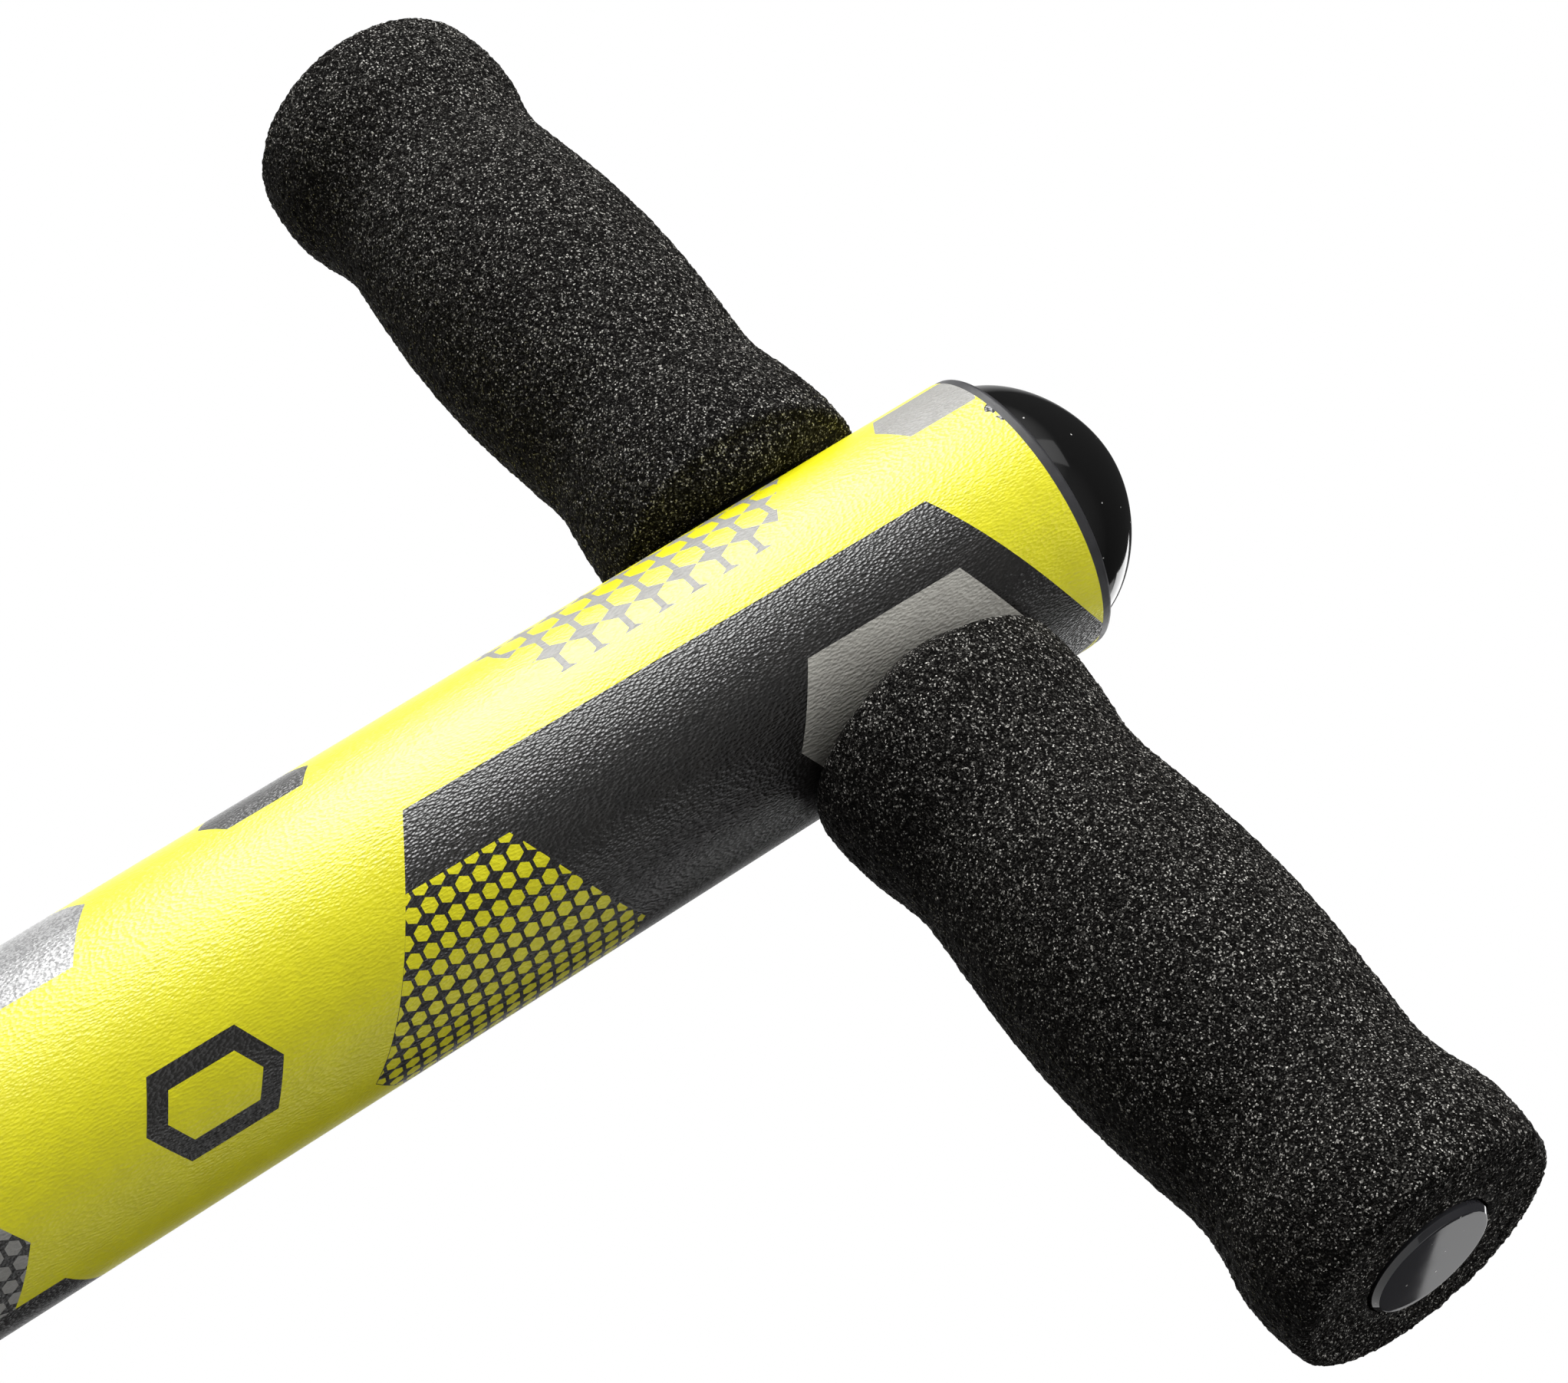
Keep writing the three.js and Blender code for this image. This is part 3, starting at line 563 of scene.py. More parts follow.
# The other looks, each with its part slot.
TUBE_COAT = "outer_tube", powder_coat("tube_coat", (0.02, 0.02, 0.022), (0.03, 0.03, 0.033), 0.42)
FRAME_COAT = "black_paint", powder_coat(
    "frame_coat", (0.012, 0.012, 0.013), (0.02, 0.02, 0.021), 0.38)
FOAM = "foam_grip", foam_paint()
DOME_PLASTIC = "cap_plastic", dusty_gloss("dome_plastic", 0.006, 0.07, 0.00002)
PLUG_PLASTIC = "cap_plastic", dusty_gloss("plug_plastic", (0.03, 0.03, 0.034), 0.025, 0.000001)
PLASTIC = "black_plastic", moulded(
    "black_plastic", (0.012, 0.012, 0.013), (0.02, 0.02, 0.022), 0.45)
RUBBER = "rubber", moulded("black_rubber", 0.011, 0.02, 0.72)
NYLON = "nylon", moulded("white_nylon", (0.68, 0.67, 0.62), (0.78, 0.77, 0.72), 0.5)
CHROME = "plunger_steel", plated("plunger_chrome", (0.44, 0.45, 0.47), (0.5, 0.51, 0.53), 0.12)
ZINC = "plated_steel", plated("zinc_plate", (0.42, 0.43, 0.44), (0.55, 0.56, 0.57), 0.28)
SPRING_STEEL = "spring_steel", plated(
    "spring_steel", (0.13, 0.13, 0.14), (0.22, 0.22, 0.23), 0.32)


# ---- Outer tube and its printed film ----

COLLAR_HOLES = [(outward(angle, COLLAR_SCREW_Z), SCREW_R + GAP, 16, THROUGH)
                for angle in COLLAR_SCREWS.values()]


def add_tube():
    section = wall(TUBE_R - TUBE_WALL, TUBE_R, (TUBE_LOW, TOP), (0.3, 0.3, 1.0, 0.5))
    tube = piece("tube_shell", TUBE_COAT, "outer_tube", lathe(section, 128))
    drill(tube, (along("+X", z=BAR_Z), BAR_R + 0.2),
          (along("+Y", z=BAR_Z), BAR_SCREW_R + GAP, 5, THROUGH),
          (along("+Y", z=STOP_BOLT_Z), BOLT_R + GAP),
          *COLLAR_HOLES)


AROUND = 2 * pi * TUBE_R
LEAN = 0.015       # how far the print moves round for each mm up
SEAM = 50.0        # where the film's edges meet at the rear, in mm round from +X
FILM_TOP = -2.1    # film edges, from the tube's top
FILM_LOW = low("bottom_collar", Z) + 30 - TOP
COLUMNS = 96


def hexagon(centre, half, tip_low, low_side, top_side, tip_top):
    """A tall hexagon on the unrolled film, leaning a little. Its centre is in mm
    round from +X, and its heights are from the tube's top."""
    outline = [(-half, low_side), (0, tip_low), (half, low_side),
               (half, top_side), (0, tip_top), (-half, top_side)]
    halfway = (low_side + top_side) / 2
    return [(centre + x + LEAN * (z - halfway), z) for x, z in outline]


def cell(centre, height, tip, flat):
    """A small hexagon with its tips to left and right, by its half sizes."""
    corners = ((-tip, 0), (-tip / 2, -flat), (tip / 2, -flat),
               (tip, 0), (tip / 2, flat), (-tip / 2, flat))
    return [(centre + x, height + z) for x, z in corners]


class Print:
    """Layers of ink on the unrolled film; a later layer covers an earlier one."""

    def __init__(self):
        self.layers = []

    def area(self, outline, ink, within=None):
        self.layers.append((outline, ink, within))
        return len(self.layers) - 1

    def honeycomb(self, region, ground, cell_ink, pitch, size, start):
        """Cells on a rectangular grid from the start point, cut off by the region."""
        base = self.area(region, ground)

        def grid(axis):
            values = [point[axis] for point in region]
            steps = floor((min(values) - start[axis]) / pitch[axis])
            first = start[axis] + steps * pitch[axis]
            count = int((max(values) - first) / pitch[axis]) + 2
            return [first + step * pitch[axis] for step in range(count)]

        for x in grid(0):
            for z in grid(1):
                if near_polygon(x, z, region, size[0]):
                    self.area(cell(x, z, *size), cell_ink, within=base)

    def faces(self):
        """Triangles of the sheet with their ink, cut along every outline."""
        left, right = SEAM - AROUND, SEAM
        columns = [left + AROUND * column / COLUMNS for column in range(COLUMNS + 1)]
        ends = (FILM_LOW, FILM_TOP)
        points = [Vector((x, z)) for x in columns for z in ends]
        points += [Vector((x, z)) for z in ends for x in (left, right)]
        edges = [(start, start + 1) for start in range(0, len(points), 2)]
        polygons, owners = [], []
        for owner, (outline, _, _) in enumerate(self.layers):
            for shift in (-AROUND, 0.0, AROUND):
                xs = [x + shift for x, _ in outline]
                if max(xs) <= left or min(xs) >= right:
                    continue
                polygons.append(tuple(range(len(points), len(points) + len(outline))))
                owners.append(owner)
                points += [Vector((x, z)) for x, (_, z) in zip(xs, outline)]
        corners, _, triangles, _, _, sources = delaunay_2d_cdt(
            points, edges, polygons, 0, 1e-4, True)
        kept, inks = [], []
        for triangle, source in zip(triangles, sources):
            x = sum(corners[index].x for index in triangle) / 3
            z = sum(corners[index].y for index in triangle) / 3
            if not (left < x < right and FILM_LOW < z < FILM_TOP):
                continue
            covering = {owners[index] for index in source}
            ink = YELLOW
            for owner in sorted(covering):
                _, color, within = self.layers[owner]
                if within is None or within in covering:
                    ink = color
            if ink != HOLE:
                kept.append(tuple(triangle))
                inks.append(ink)
        return corners, kept, inks


def near_polygon(x, z, polygon, reach):
    """Whether a point is inside a convex anticlockwise polygon or just outside."""
    sides = zip(polygon, polygon[1:] + polygon[:1])
    return all((bx - ax) * (z - az) - (bz - az) * (x - ax) >= -reach * hypot(bx - ax, bz - az)
               for (ax, az), (bx, bz) in sides)


def bored(sheet, z, radius, *angles):
    """Cuts a round hole, bored across the tube, from the unrolled film."""
    turns = [2 * pi * step / 48 for step in range(48)]
    for angle in angles:
        sheet.area([(radians(angle) * TUBE_R + TUBE_R * asin(radius / TUBE_R * cos(turn)),
                     z - TOP + radius * sin(turn)) for turn in turns], HOLE)


PANEL_SHIFT = (36.6, -176.3)  # from one black panel to the next down the tube
PANEL_COUNT = 5


def draw_graphics():
    sheet = Print()
    for index in range(PANEL_COUNT):
        round_by, down_by = (step * index for step in PANEL_SHIFT)

        def moved(outline):
            return [(x + round_by, z + down_by) for x, z in outline]

        def cells(outline, ground, ink, pitch, size, start):
            sheet.honeycomb(moved(outline), ground, ink, pitch, size, moved([start])[0])

        def hexagons(*rows):
            for ink, *sizes in rows:
                sheet.area(moved(hexagon(*sizes)), ink)

        net = [(-42.8, -44.6), (-63.5, -33.0), (-84.0, -44.6), (-84.0, -83.0),
               (-63.5, -95.0), (-42.8, -86.5)]
        cells(net, LIGHT, YELLOW, (6.2, 6.2), (3.1, 2.5), (-57.5, -44.9))
        if index > 0:
            patch = hexagon(-46.6, 16.0, -79.2, -70.0, -33.2, -24.0)
            cells(patch, BLACK, LIGHT, (3.1, 3.1), (1.4, 1.2), (-47.0, -26.5))
        hexagons(
            (BLACK, 3.7, 39.4, -143.6, -120.0, -21.9, -1.0),
            (GREY, -10.0, 13.1, -60.7, -53.0, -23.5, -16.7))
        if index == 0:
            hexagons((LIGHT, -53.9, 6.4, -18.5, -15.5, -2.5, 0.5))
        dots = hexagon(3.0, 27.9, -143.4, -126.9, -108.2, -93.4)
        cells(dots, BLACK, YELLOW, (3.12, 3.09), (1.38, 1.22), (-21.74, -109.06))
        hexagons(
            (BLACK, -58.7, 6.2, -145.6, -142.5, -129.0, -125.6),
            (SILVER, -56.7, 13.2, -211.0, -203.5, -174.0, -166.3),
            (BLACK, -14.1, 8.05, -178.4, -174.0, -159.0, -154.7),
            (YELLOW, -14.1, 4.65, -174.7, -172.2, -160.9, -158.3),
            (GREY, 61.0, 9.0, -89.2, -84.0, -60.0, -54.8),
            (BLACK, 54.5, 5.2, -27.0, -24.0, -12.0, -9.0),
            (LIGHT, 57.5, 7.0, -129.0, -125.0, -110.0, -106.0))
    # A small tear in the film's top edge, where the black coat shows.
    for tear in ([(-45.0, -1.9), (-44.4, -3.0), (-43.5, -3.5), (-43.0, -2.8), (-42.3, -2.6),
                  (-42.6, -1.9)],
                 [(-41.7, -3.0), (-41.0, -2.6), (-40.3, -2.6), (-40.0, -1.9), (-41.2, -1.9)]):
        sheet.area(tear, BLACK)
    bored(sheet, BAR_Z, BAR_R + 0.2, 0, -180)
    bored(sheet, BAR_Z, BAR_SCREW_R + GAP, 90)
    bored(sheet, STOP_BOLT_Z, BOLT_R + GAP, 90, -90)
    return sheet


def add_film():
    corners, triangles, inks = draw_graphics().faces()
    mesh = bpy.data.meshes.new("tube_film")
    turns = [corner.x / TUBE_R for corner in corners]
    points = [
        (FILM_R * MM * cos(turn), FILM_R * MM * sin(turn), (TOP + corner.y) * MM)
        for turn, corner in zip(turns, corners)
    ]
    mesh.from_pydata(points, [], triangles)
    for ink in INKS:
        mesh.materials.append(ink.material)
    mesh.polygons.foreach_set("material_index", inks)
    shape = bmesh.new()
    shape.from_mesh(mesh)
    bmesh.ops.remove_doubles(shape, verts=shape.verts, dist=1e-6)
    loose = [vertex for vertex in shape.verts if not vertex.link_faces]
    bmesh.ops.delete(shape, geom=loose, context="VERTS")
    # The film's edges turn in to meet the tube.
    edges = [edge for edge in shape.edges if edge.is_boundary]
    for lip in bmesh.ops.extrude_edge_only(shape, edges=edges)["geom"]:
        if isinstance(lip, bmesh.types.BMVert):
            lip.co.xy *= TUBE_R / FILM_R
    shape.to_mesh(mesh)
    shape.free()
    mesh.shade_smooth()
    normals = []
    for polygon in mesh.polygons:
        spots = [mesh.vertices[index].co for index in polygon.vertices]
        on_film = all(spot.xy.length > (FILM_R - 0.03) * MM for spot in spots)
        normals += [spot.xy.normalized().to_3d() if on_film else polygon.normal.copy()
                    for spot in spots]
    mesh.normals_split_custom_set(normals)
    film = new_object("tube_film", mesh)
    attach(film, "frame")


# ---- Top cap and bar plugs ----

DOME_R = 22.9
DOME_POWER = 1.7  # 2 is an ellipse, lower is more pointed


def add_cap():
    foot, height = (z - TOP for z in span("top_cap"))
    stem = high("top_cap", X)
    rises = [sin(pi / 2 * step / 48) for step in range(1, 48)]
    dome = [(DOME_R * (1 - rise ** DOME_POWER) ** (1 / DOME_POWER), rise * height)
            for rise in rises]
    outline = rounded([
        (0, height - 7, 0), (13, height - 9, 4), (20, 1, 4), (20.8, foot, 0.8),
        (stem, foot, 1.5), (stem, -0.8, 0.3), (DOME_R, 0, 0),
    ]) + dome + [(0, height)]
    piece("dome_cap", DOME_PLASTIC, "top_cap", lathe(outline, 128), along("+Z", z=TOP))


def bar_side(sign):
    """A placement along the handlebar, toward its right or left end."""
    return along("+X" if sign > 0 else "-X", z=BAR_Z)


def add_bar_plug(side, sign):
    node = f"bar_plug_{side}"
    face = max(sign * x for x in span(node, X))
    bar_end = high("handlebar_tube", X)
    stem = BAR_R - 1.9
    rim = BAR_R - 0.1
    outline = rounded([
        (0, bar_end - 12, 0), (stem - 1.5, bar_end - 12, 1), (stem, bar_end - 4, 1),
        (stem, bar_end + 0.3, 0.2), (rim, bar_end + 0.3, 0.3), (rim, face - 0.8, 0.2),
        (rim - 0.8, face, 0.3), (rim - 1.6, face, 0), (rim - 2.0, face, 0), (0, face, 0),
    ])
    piece(f"end_plug_{side}", PLUG_PLASTIC, node, lathe(outline), bar_side(sign))


# ---- Handlebar and foam grips ----

GRIP_FACETS = 380
GRIP_ROWS = 260
GRIP_GRAIN = 0.5  # height of the foam's surface grain, mm
GRIP_GRAIN_SIZE = 0.6
GRIP_EDGE = 2.2  # fillet round the outer end
GRIP_PRESS_DEPTH = 3.0  # how deep and wide the foam gives at the tube
GRIP_PRESS_R = 22.5


def smooth_curve(knots, count):
    """A smooth line through (place, value) knots, as count + 1 points."""
    places, values = np.array(knots).T
    slopes = np.gradient(values, places)
    spots = np.linspace(places[0], places[-1], count + 1)
    index = np.clip(np.searchsorted(places, spots, "right") - 1, 0, len(places) - 2)
    width = places[index + 1] - places[index]
    t = (spots - places[index]) / width
    rise = values[index + 1] - values[index]
    start, end = width * slopes[index], width * slopes[index + 1]
    bend = 3 * rise - 2 * start - end + t * (start + end - 2 * rise)
    heights = values[index] + t * (start + t * bend)
    return zip(heights, spots)


def grip_outline(start, end):
    """Flare against the tube, neck, palm swell, neck and end flange."""
    knots = [
        (0.0, 24.4), (0.05, 24.55), (0.1, 24.0), (0.2, 22.3), (0.3, 23.2), (0.4, 24.2),
        (0.5, 24.6), (0.6, 24.2), (0.7, 23.1), (0.8, 22.1), (0.85, 22.9), (0.9, 24.3),
        (0.94, 24.6), (0.97, 24.4), (1.0, 23.9),
    ]
    bore = BAR_R + 0.3
    flank = [(radius, start + 1.6 + (end - start - 3.8) * spot)
             for radius, spot in smooth_curve(knots, GRIP_ROWS)]
    (first_r, first), (last_r, last) = flank[0], flank[-1]
    inner = [(r, start) for r in np.linspace(bore + 0.6, first_r - 2.0, 18)]
    inner += arc(first_r - 1.6, first, 1.6, *np.degrees((0.15, 1.35)) - 90, 3)
    centre = last_r - GRIP_EDGE
    outer = arc(centre, last, GRIP_EDGE, degrees(0.2), 90, 7)
    outer += [(r, end) for r in np.linspace(centre - 0.4, bore + 0.9, 24)]
    outer += [(bore + 0.3, end - 0.25), (bore, end - 0.8)]
    outline = [(bore, start + 0.5)] + inner + flank + outer
    return [(float(r), float(x)) for r, x in outline] + [(bore, start + 0.5)]


def grain(places, size, seed):
    """Smooth random heights, 0 to 1, by place in a lattice of the given size."""
    lattice = np.random.default_rng(seed).random((64, 64, 64))
    corner = np.floor(places / size).astype(int)
    blend = places / size - corner
    blend = blend * blend * (3 - 2 * blend)
    height = 0
    for step in np.ndindex(2, 2, 2):
        weight = np.where(step, blend, 1 - blend).prod(axis=1)
        height = height + weight * lattice[tuple(((corner + step) % 64).T)]
    return height


def press_in(x, y, z, start):
    """How far the foam's inner end bulges on to the round tube beside it."""
    reach = np.maximum(0, 1 - abs(z - start) / GRIP_PRESS_DEPTH)
    spread = np.clip((GRIP_PRESS_R - np.hypot(x, y)) / 8, 0, 1)
    gap = start - 0.5 - np.sqrt(TUBE_R ** 2 - np.minimum(abs(y), 20) ** 2)
    return 0.8 * np.maximum(0, gap) * reach * spread


def add_grip(side, sign):
    node = f"grip_{side}"
    start, end = sorted(sign * x for x in span(node, X))
    vertices, faces = lathe(grip_outline(start, end), GRIP_FACETS)
    places = np.array(vertices)
    radius, height = np.hypot(places[:, 0], places[:, 1]), places[:, 2]
    flank = (radius > BAR_R + 0.35) & (height > start + 0.1) & (height < end - 0.1)
    end_face = np.clip((height - end) / GRIP_EDGE + 1, 0, 1) ** 2
    end_face *= np.clip((radius - BAR_R - 0.9) / 2, 0, 1)
    rise = (grain(places, GRIP_GRAIN_SIZE, 2 + sign) - 1) * GRIP_GRAIN
    places[:, :2] *= (1 + np.where(flank, rise, 0) / radius)[:, None]
    places[:, 2] += rise * end_face
    places[:, 2] -= press_in(*places.T, start)
    grip = piece(f"foam_grip_{side}", FOAM, node, (places.tolist(), faces), bar_side(sign),
                 sharp=60)


def add_handlebar():
    section = wall(BAR_R - 1.6, BAR_R, span("handlebar_tube", X), (0.2, 0.3, 0.3, 0.2), steps=3)
    bar = piece("crossbar", FRAME_COAT, "handlebar_tube", lathe(section, 64), bar_side(1))
    drill(bar, (along("+Y", z=BAR_Z), RIVET_R + 0.2, 0, 20))


# ---- Fasteners ----

THREAD_PITCH = 1.25
BEYOND = 99.0  # a radius past every limit, so that the limit alone shapes the row


def hexagonal(flat):
    """How far a hexagon reaches by direction, with two corners on the local Y."""
    sixth = pi / 6
    return lambda turn: flat / cos((turn + sixth) % (2 * sixth) - sixth)


def crossed(half_width, reach):
    """How far a cross recess reaches by direction."""
    def limit(turn):
        across, beside = abs(cos(turn)) + 1e-6, abs(sin(turn)) + 1e-6
        return max(min(reach / across, half_width / beside),
                   min(reach / beside, half_width / across))
    return limit


def fluted(radius, depth, count):
    """A round outline with a number of shallow grooves along its length."""
    return lambda turn: radius - depth * max(0.0, cos(count * turn)) ** 2


def hex_rows(flat, low_z, high_z, low_chamfer=True):
    """Rows of a hexagon from one face to the other, with its corners chamfered."""
    limit = hexagonal(flat)
    corner = limit(pi / 2)
    face = 0.94 * flat
    drop = (corner - face) * tan(radians(30))
    top = [(corner + (face - corner) * part, high_z - drop * (1 - part), limit)
           for part in (0, 0.25, 0.5, 0.75, 1)]
    if low_chamfer:
        return [(radius, low_z + high_z - z, limit) for radius, z, limit in reversed(top)] + top
    return [(face, low_z), (corner, low_z + 0.2, limit)] + top


def thread_rows(radius, start, end):
    """Rows of a thread's crests and roots."""
    count = int(2 * (end - start) / THREAD_PITCH)
    root = radius - 0.5 * THREAD_PITCH
    return [(root if step % 2 else radius, start + step * THREAD_PITCH / 2)
            for step in range(count)]


def upside_down(rows):
    return [(radius, -z, *limit) for radius, z, *limit in reversed(rows)]


def hex_bolt(head, length):
    """Bolt along +Z with its head below z = 0 and its thread at the far end."""
    crown = [(0, -head + 0.3), (0.6 * BOLT_FLAT, -head + 0.3), (0.72 * BOLT_FLAT, -head)]
    shank = [(BOLT_R, 0), (BOLT_R, length - 16)]
    thread = thread_rows(BOLT_R, length - 16, length - 1)
    return lathe(crown + upside_down(hex_rows(BOLT_FLAT, 0, head, False)) + shank + thread
                 + [(BOLT_R - 1, length), (0, length)], 72)


def hex_nut(node):
    """The nut of a node that lies along Y, here up from z = 0."""
    height = high(node, Y) - low(node, Y)
    bore = BOLT_R + 0.15
    inside = [(bore + 0.5, height), (bore, height - 0.5), (bore, 0.5), (bore + 0.5, 0)]
    return lathe([(bore + 0.5, 0)] + hex_rows(BOLT_FLAT, 0, height) + inside, 72)


def domed_head(radius, seat, top, recess, depth):
    """Rows of a round screw head with a recess, from its seat to the axis."""
    crown = 0.5 * radius
    dome = [(crown + (radius - crown) * cos(turn),
             seat + 0.5 + (top - seat - 0.5) * sin(turn))
            for turn in (pi / 2 * step / 6 for step in range(1, 7))]
    return [(radius, seat), (radius, seat + 0.5)] + dome + [
        (BEYOND, top, recess), (BEYOND, top - depth, recess), (0, top - depth)]


def saddle_washer(outer, bore):
    """Washer along +Z, outside a round tube that runs along the local Y."""
    top = -low("stop_washer_front", Y)
    rows = [(bore, top - 0.3), (bore + 0.3, top), (outer - 0.8, top), (outer, top - 0.6)]
    rows += [(radius, 0.0) for radius in np.linspace(outer, bore, 7)]
    vertices, faces = lathe(rows + rows[:1], 64)
    seat = TUBE_R + 0.2
    shaped = [(x, y, sqrt(seat ** 2 - x ** 2) if z == 0 else z) for x, y, z in vertices]
    return shaped, faces


def add_bar_fastening():
    tip, top = span("bar_screw", Y)
    seat = high("bar_washer", Y) + GAP
    place = along("+Y", z=BAR_Z)
    screw = [(0, tip), (2.2, tip)] + thread_rows(BAR_SCREW_R, tip + 0.8, tip + 11)
    screw += [(BAR_SCREW_R, tip + 11), (BAR_SCREW_R, seat)]
    screw += domed_head(5.6, seat, top, hexagonal(1.9), 2.0)
    piece("button_screw", ZINC, "bar_screw", lathe(screw, 72), place)
    piece("bar_saddle_washer", ZINC, "bar_washer", saddle_washer(8, 3.3), place)
    seat = BAR_R + GAP
    bottom = low("bar_insert", Y)
    insert = rounded([
        (3.3, bottom, 0.3), (RIVET_R, bottom, 0.4), (RIVET_R, seat, 0),
        (6.4, seat, 0.3), (6.4, seat + 1, 0.4), (3.3, seat + 1, 0.3),
    ], closed=True, steps=3)
    piece("rivet_nut", ZINC, "bar_insert", lathe(insert, 48), place)


# ---- Spring and its stop ----

WIRE_R = 2.5
COIL_R = 18.5
COIL_TURNS = 17
END_PITCH = 5.6  # the first and last turns lie closer than the rest


def add_spring():
    bottom, top = span("main_spring")
    pitch = (top - bottom - 2 * WIRE_R - 2 * END_PITCH) / (COIL_TURNS - 2)
    sides = 12
    turn = np.linspace(0, COIL_TURNS, 40 * COIL_TURNS + 1)[:, None]
    opened = np.clip(turn - 1, 0, COIL_TURNS - 2)
    height = bottom + WIRE_R + END_PITCH * (turn - opened) + pitch * opened
    around = 2 * pi * np.arange(sides) / sides
    radius = COIL_R + WIRE_R * np.cos(around)
    rings = np.stack((radius * np.cos(2 * pi * turn), radius * np.sin(2 * pi * turn),
                      height + WIRE_R * np.sin(around)), axis=2)
    vertices = rings.reshape(-1, 3).tolist()
    rows = [range(start, start + sides) for start in range(0, len(vertices), sides)]
    faces = bridge(rows[::-1]) + [tuple(rows[0]), tuple(reversed(rows[-1]))]
    spring = piece("coil_spring", SPRING_STEEL, "main_spring", (vertices, faces))
    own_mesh(spring)


def add_spring_stop():
    under, top = span("spring_stop")
    face = high("main_spring", Z) + GAP
    radius = high("spring_stop", X)
    stop = rounded([
        (0, under + 6, 0), (9.3, under + 6, 0.5), (9.3, under, 0.5), (13.9, under, 0.5),
        (15.4, under + 1.5, 0.5), (15.4, face, 0.8), (radius, face, 0.8),
        (radius, top, 1.0), (12, top, 1), (11, top - 3, 1), (0, top - 3, 0),
    ])
    plug = piece("stop_plug", NYLON, "spring_stop", lathe(stop))
    drill(plug, (along("+Y", z=STOP_BOLT_Z), BOLT_R + GAP, -30, 30))
    rod_low, rod_top = span("spring_guide_rod")
    guide = rounded([(0, rod_low, 0), (6, rod_low, 1.5), (9, rod_low + 4, 1.5),
                     (9, rod_top, 0.4), (0, rod_top, 0)])
    piece("guide_rod", ZINC, "spring_guide_rod", lathe(guide, 64))
    seat = high("stop_washer_rear", Y) + GAP
    head = -low("stop_bolt", Y) - seat
    piece("cross_bolt", ZINC, "stop_bolt", hex_bolt(head, high("stop_bolt", Y) + seat),
          along("+Y", 0, -seat, STOP_BOLT_Z))
    piece("cross_bolt_nut", ZINC, "stop_nut", hex_nut("stop_nut"),
          along("+Y", 0, low("stop_nut", Y), STOP_BOLT_Z))
    for side, axis in (("front", "-Y"), ("rear", "+Y")):
        piece(f"bolt_saddle_{side}", ZINC, f"stop_washer_{side}",
              saddle_washer(9, BOLT_R + GAP), along(axis, z=STOP_BOLT_Z))


# ---- Lower end of the tube ----

def add_collar():
    bottom, top = span("bottom_collar")
    radius = high("bottom_collar", X)
    inside = TUBE_R + 0.2
    step_z = TUBE_LOW - GAP
    lip = PLUNGER_R + 1.3
    outline = rounded([(lip, step_z, 0.4), (lip, bottom, 0.8), (radius - 3, bottom, 1.5),
                       (radius, bottom + 4, 1.5), (radius, bottom + 5, 0)])
    for step in range(7):
        depth = 0.7 * sin(pi * step / 6)
        outline.append((radius, bottom + 6 + 11 * step / 6, fluted(radius, depth, 36)))
    outline += [(radius, bottom + 18.5), (radius, top - 7), (radius - 0.5, top - 6.5),
                (radius - 0.5, top - 5.5), (radius, top - 5)]
    outline += rounded([(radius, top - 5, 0), (radius, top - 2, 1.2), (radius - 2, top, 1.0),
                        (inside, top, 0.4), (inside, step_z, 0.3), (lip, step_z, 0)])[1:]
    outline[-1] = outline[0]
    collar = piece("tube_collar", PLASTIC, "bottom_collar", lathe(outline, 144))
    drill(collar, *COLLAR_HOLES)
    bore = PLUNGER_R + 0.35
    bush_low, bush_top = span("guide_bush")
    bush_r = high("guide_bush", X)
    bush = rounded([
        (bore + 1.2, bush_low, 0.5), (bush_r, bush_low, 0.6), (bush_r, bush_top, 0.8),
        (bore + 1, bush_top, 0.5), (bore, bush_top - 1.5, 0.5), (bore, bush_low + 2, 0.5),
    ], closed=True, steps=4)
    guide = piece("lower_bush", NYLON, "guide_bush", lathe(bush))
    drill(guide, *COLLAR_HOLES)
    seat = radius + GAP
    tip, head = span("collar_screw_1", Y)
    for index, (node, angle) in enumerate(COLLAR_SCREWS.items()):
        rows = [(0, tip), (0.6, tip)] + [
            (thread_r * min(1, 0.3 + 0.35 * step), z)
            for step, (thread_r, z) in enumerate(thread_rows(SCREW_R, tip + 0.4, seat - 3))]
        rows += [(SCREW_R, seat - 2.5), (SCREW_R, seat)]
        rows += domed_head(4.6, seat, head, crossed(0.55, 2.2), 1.5)
        piece(f"collar_fixing_{index + 1}", ZINC, node, lathe(rows), outward(angle, COLLAR_SCREW_Z))


# ---- Plunger and foot ----

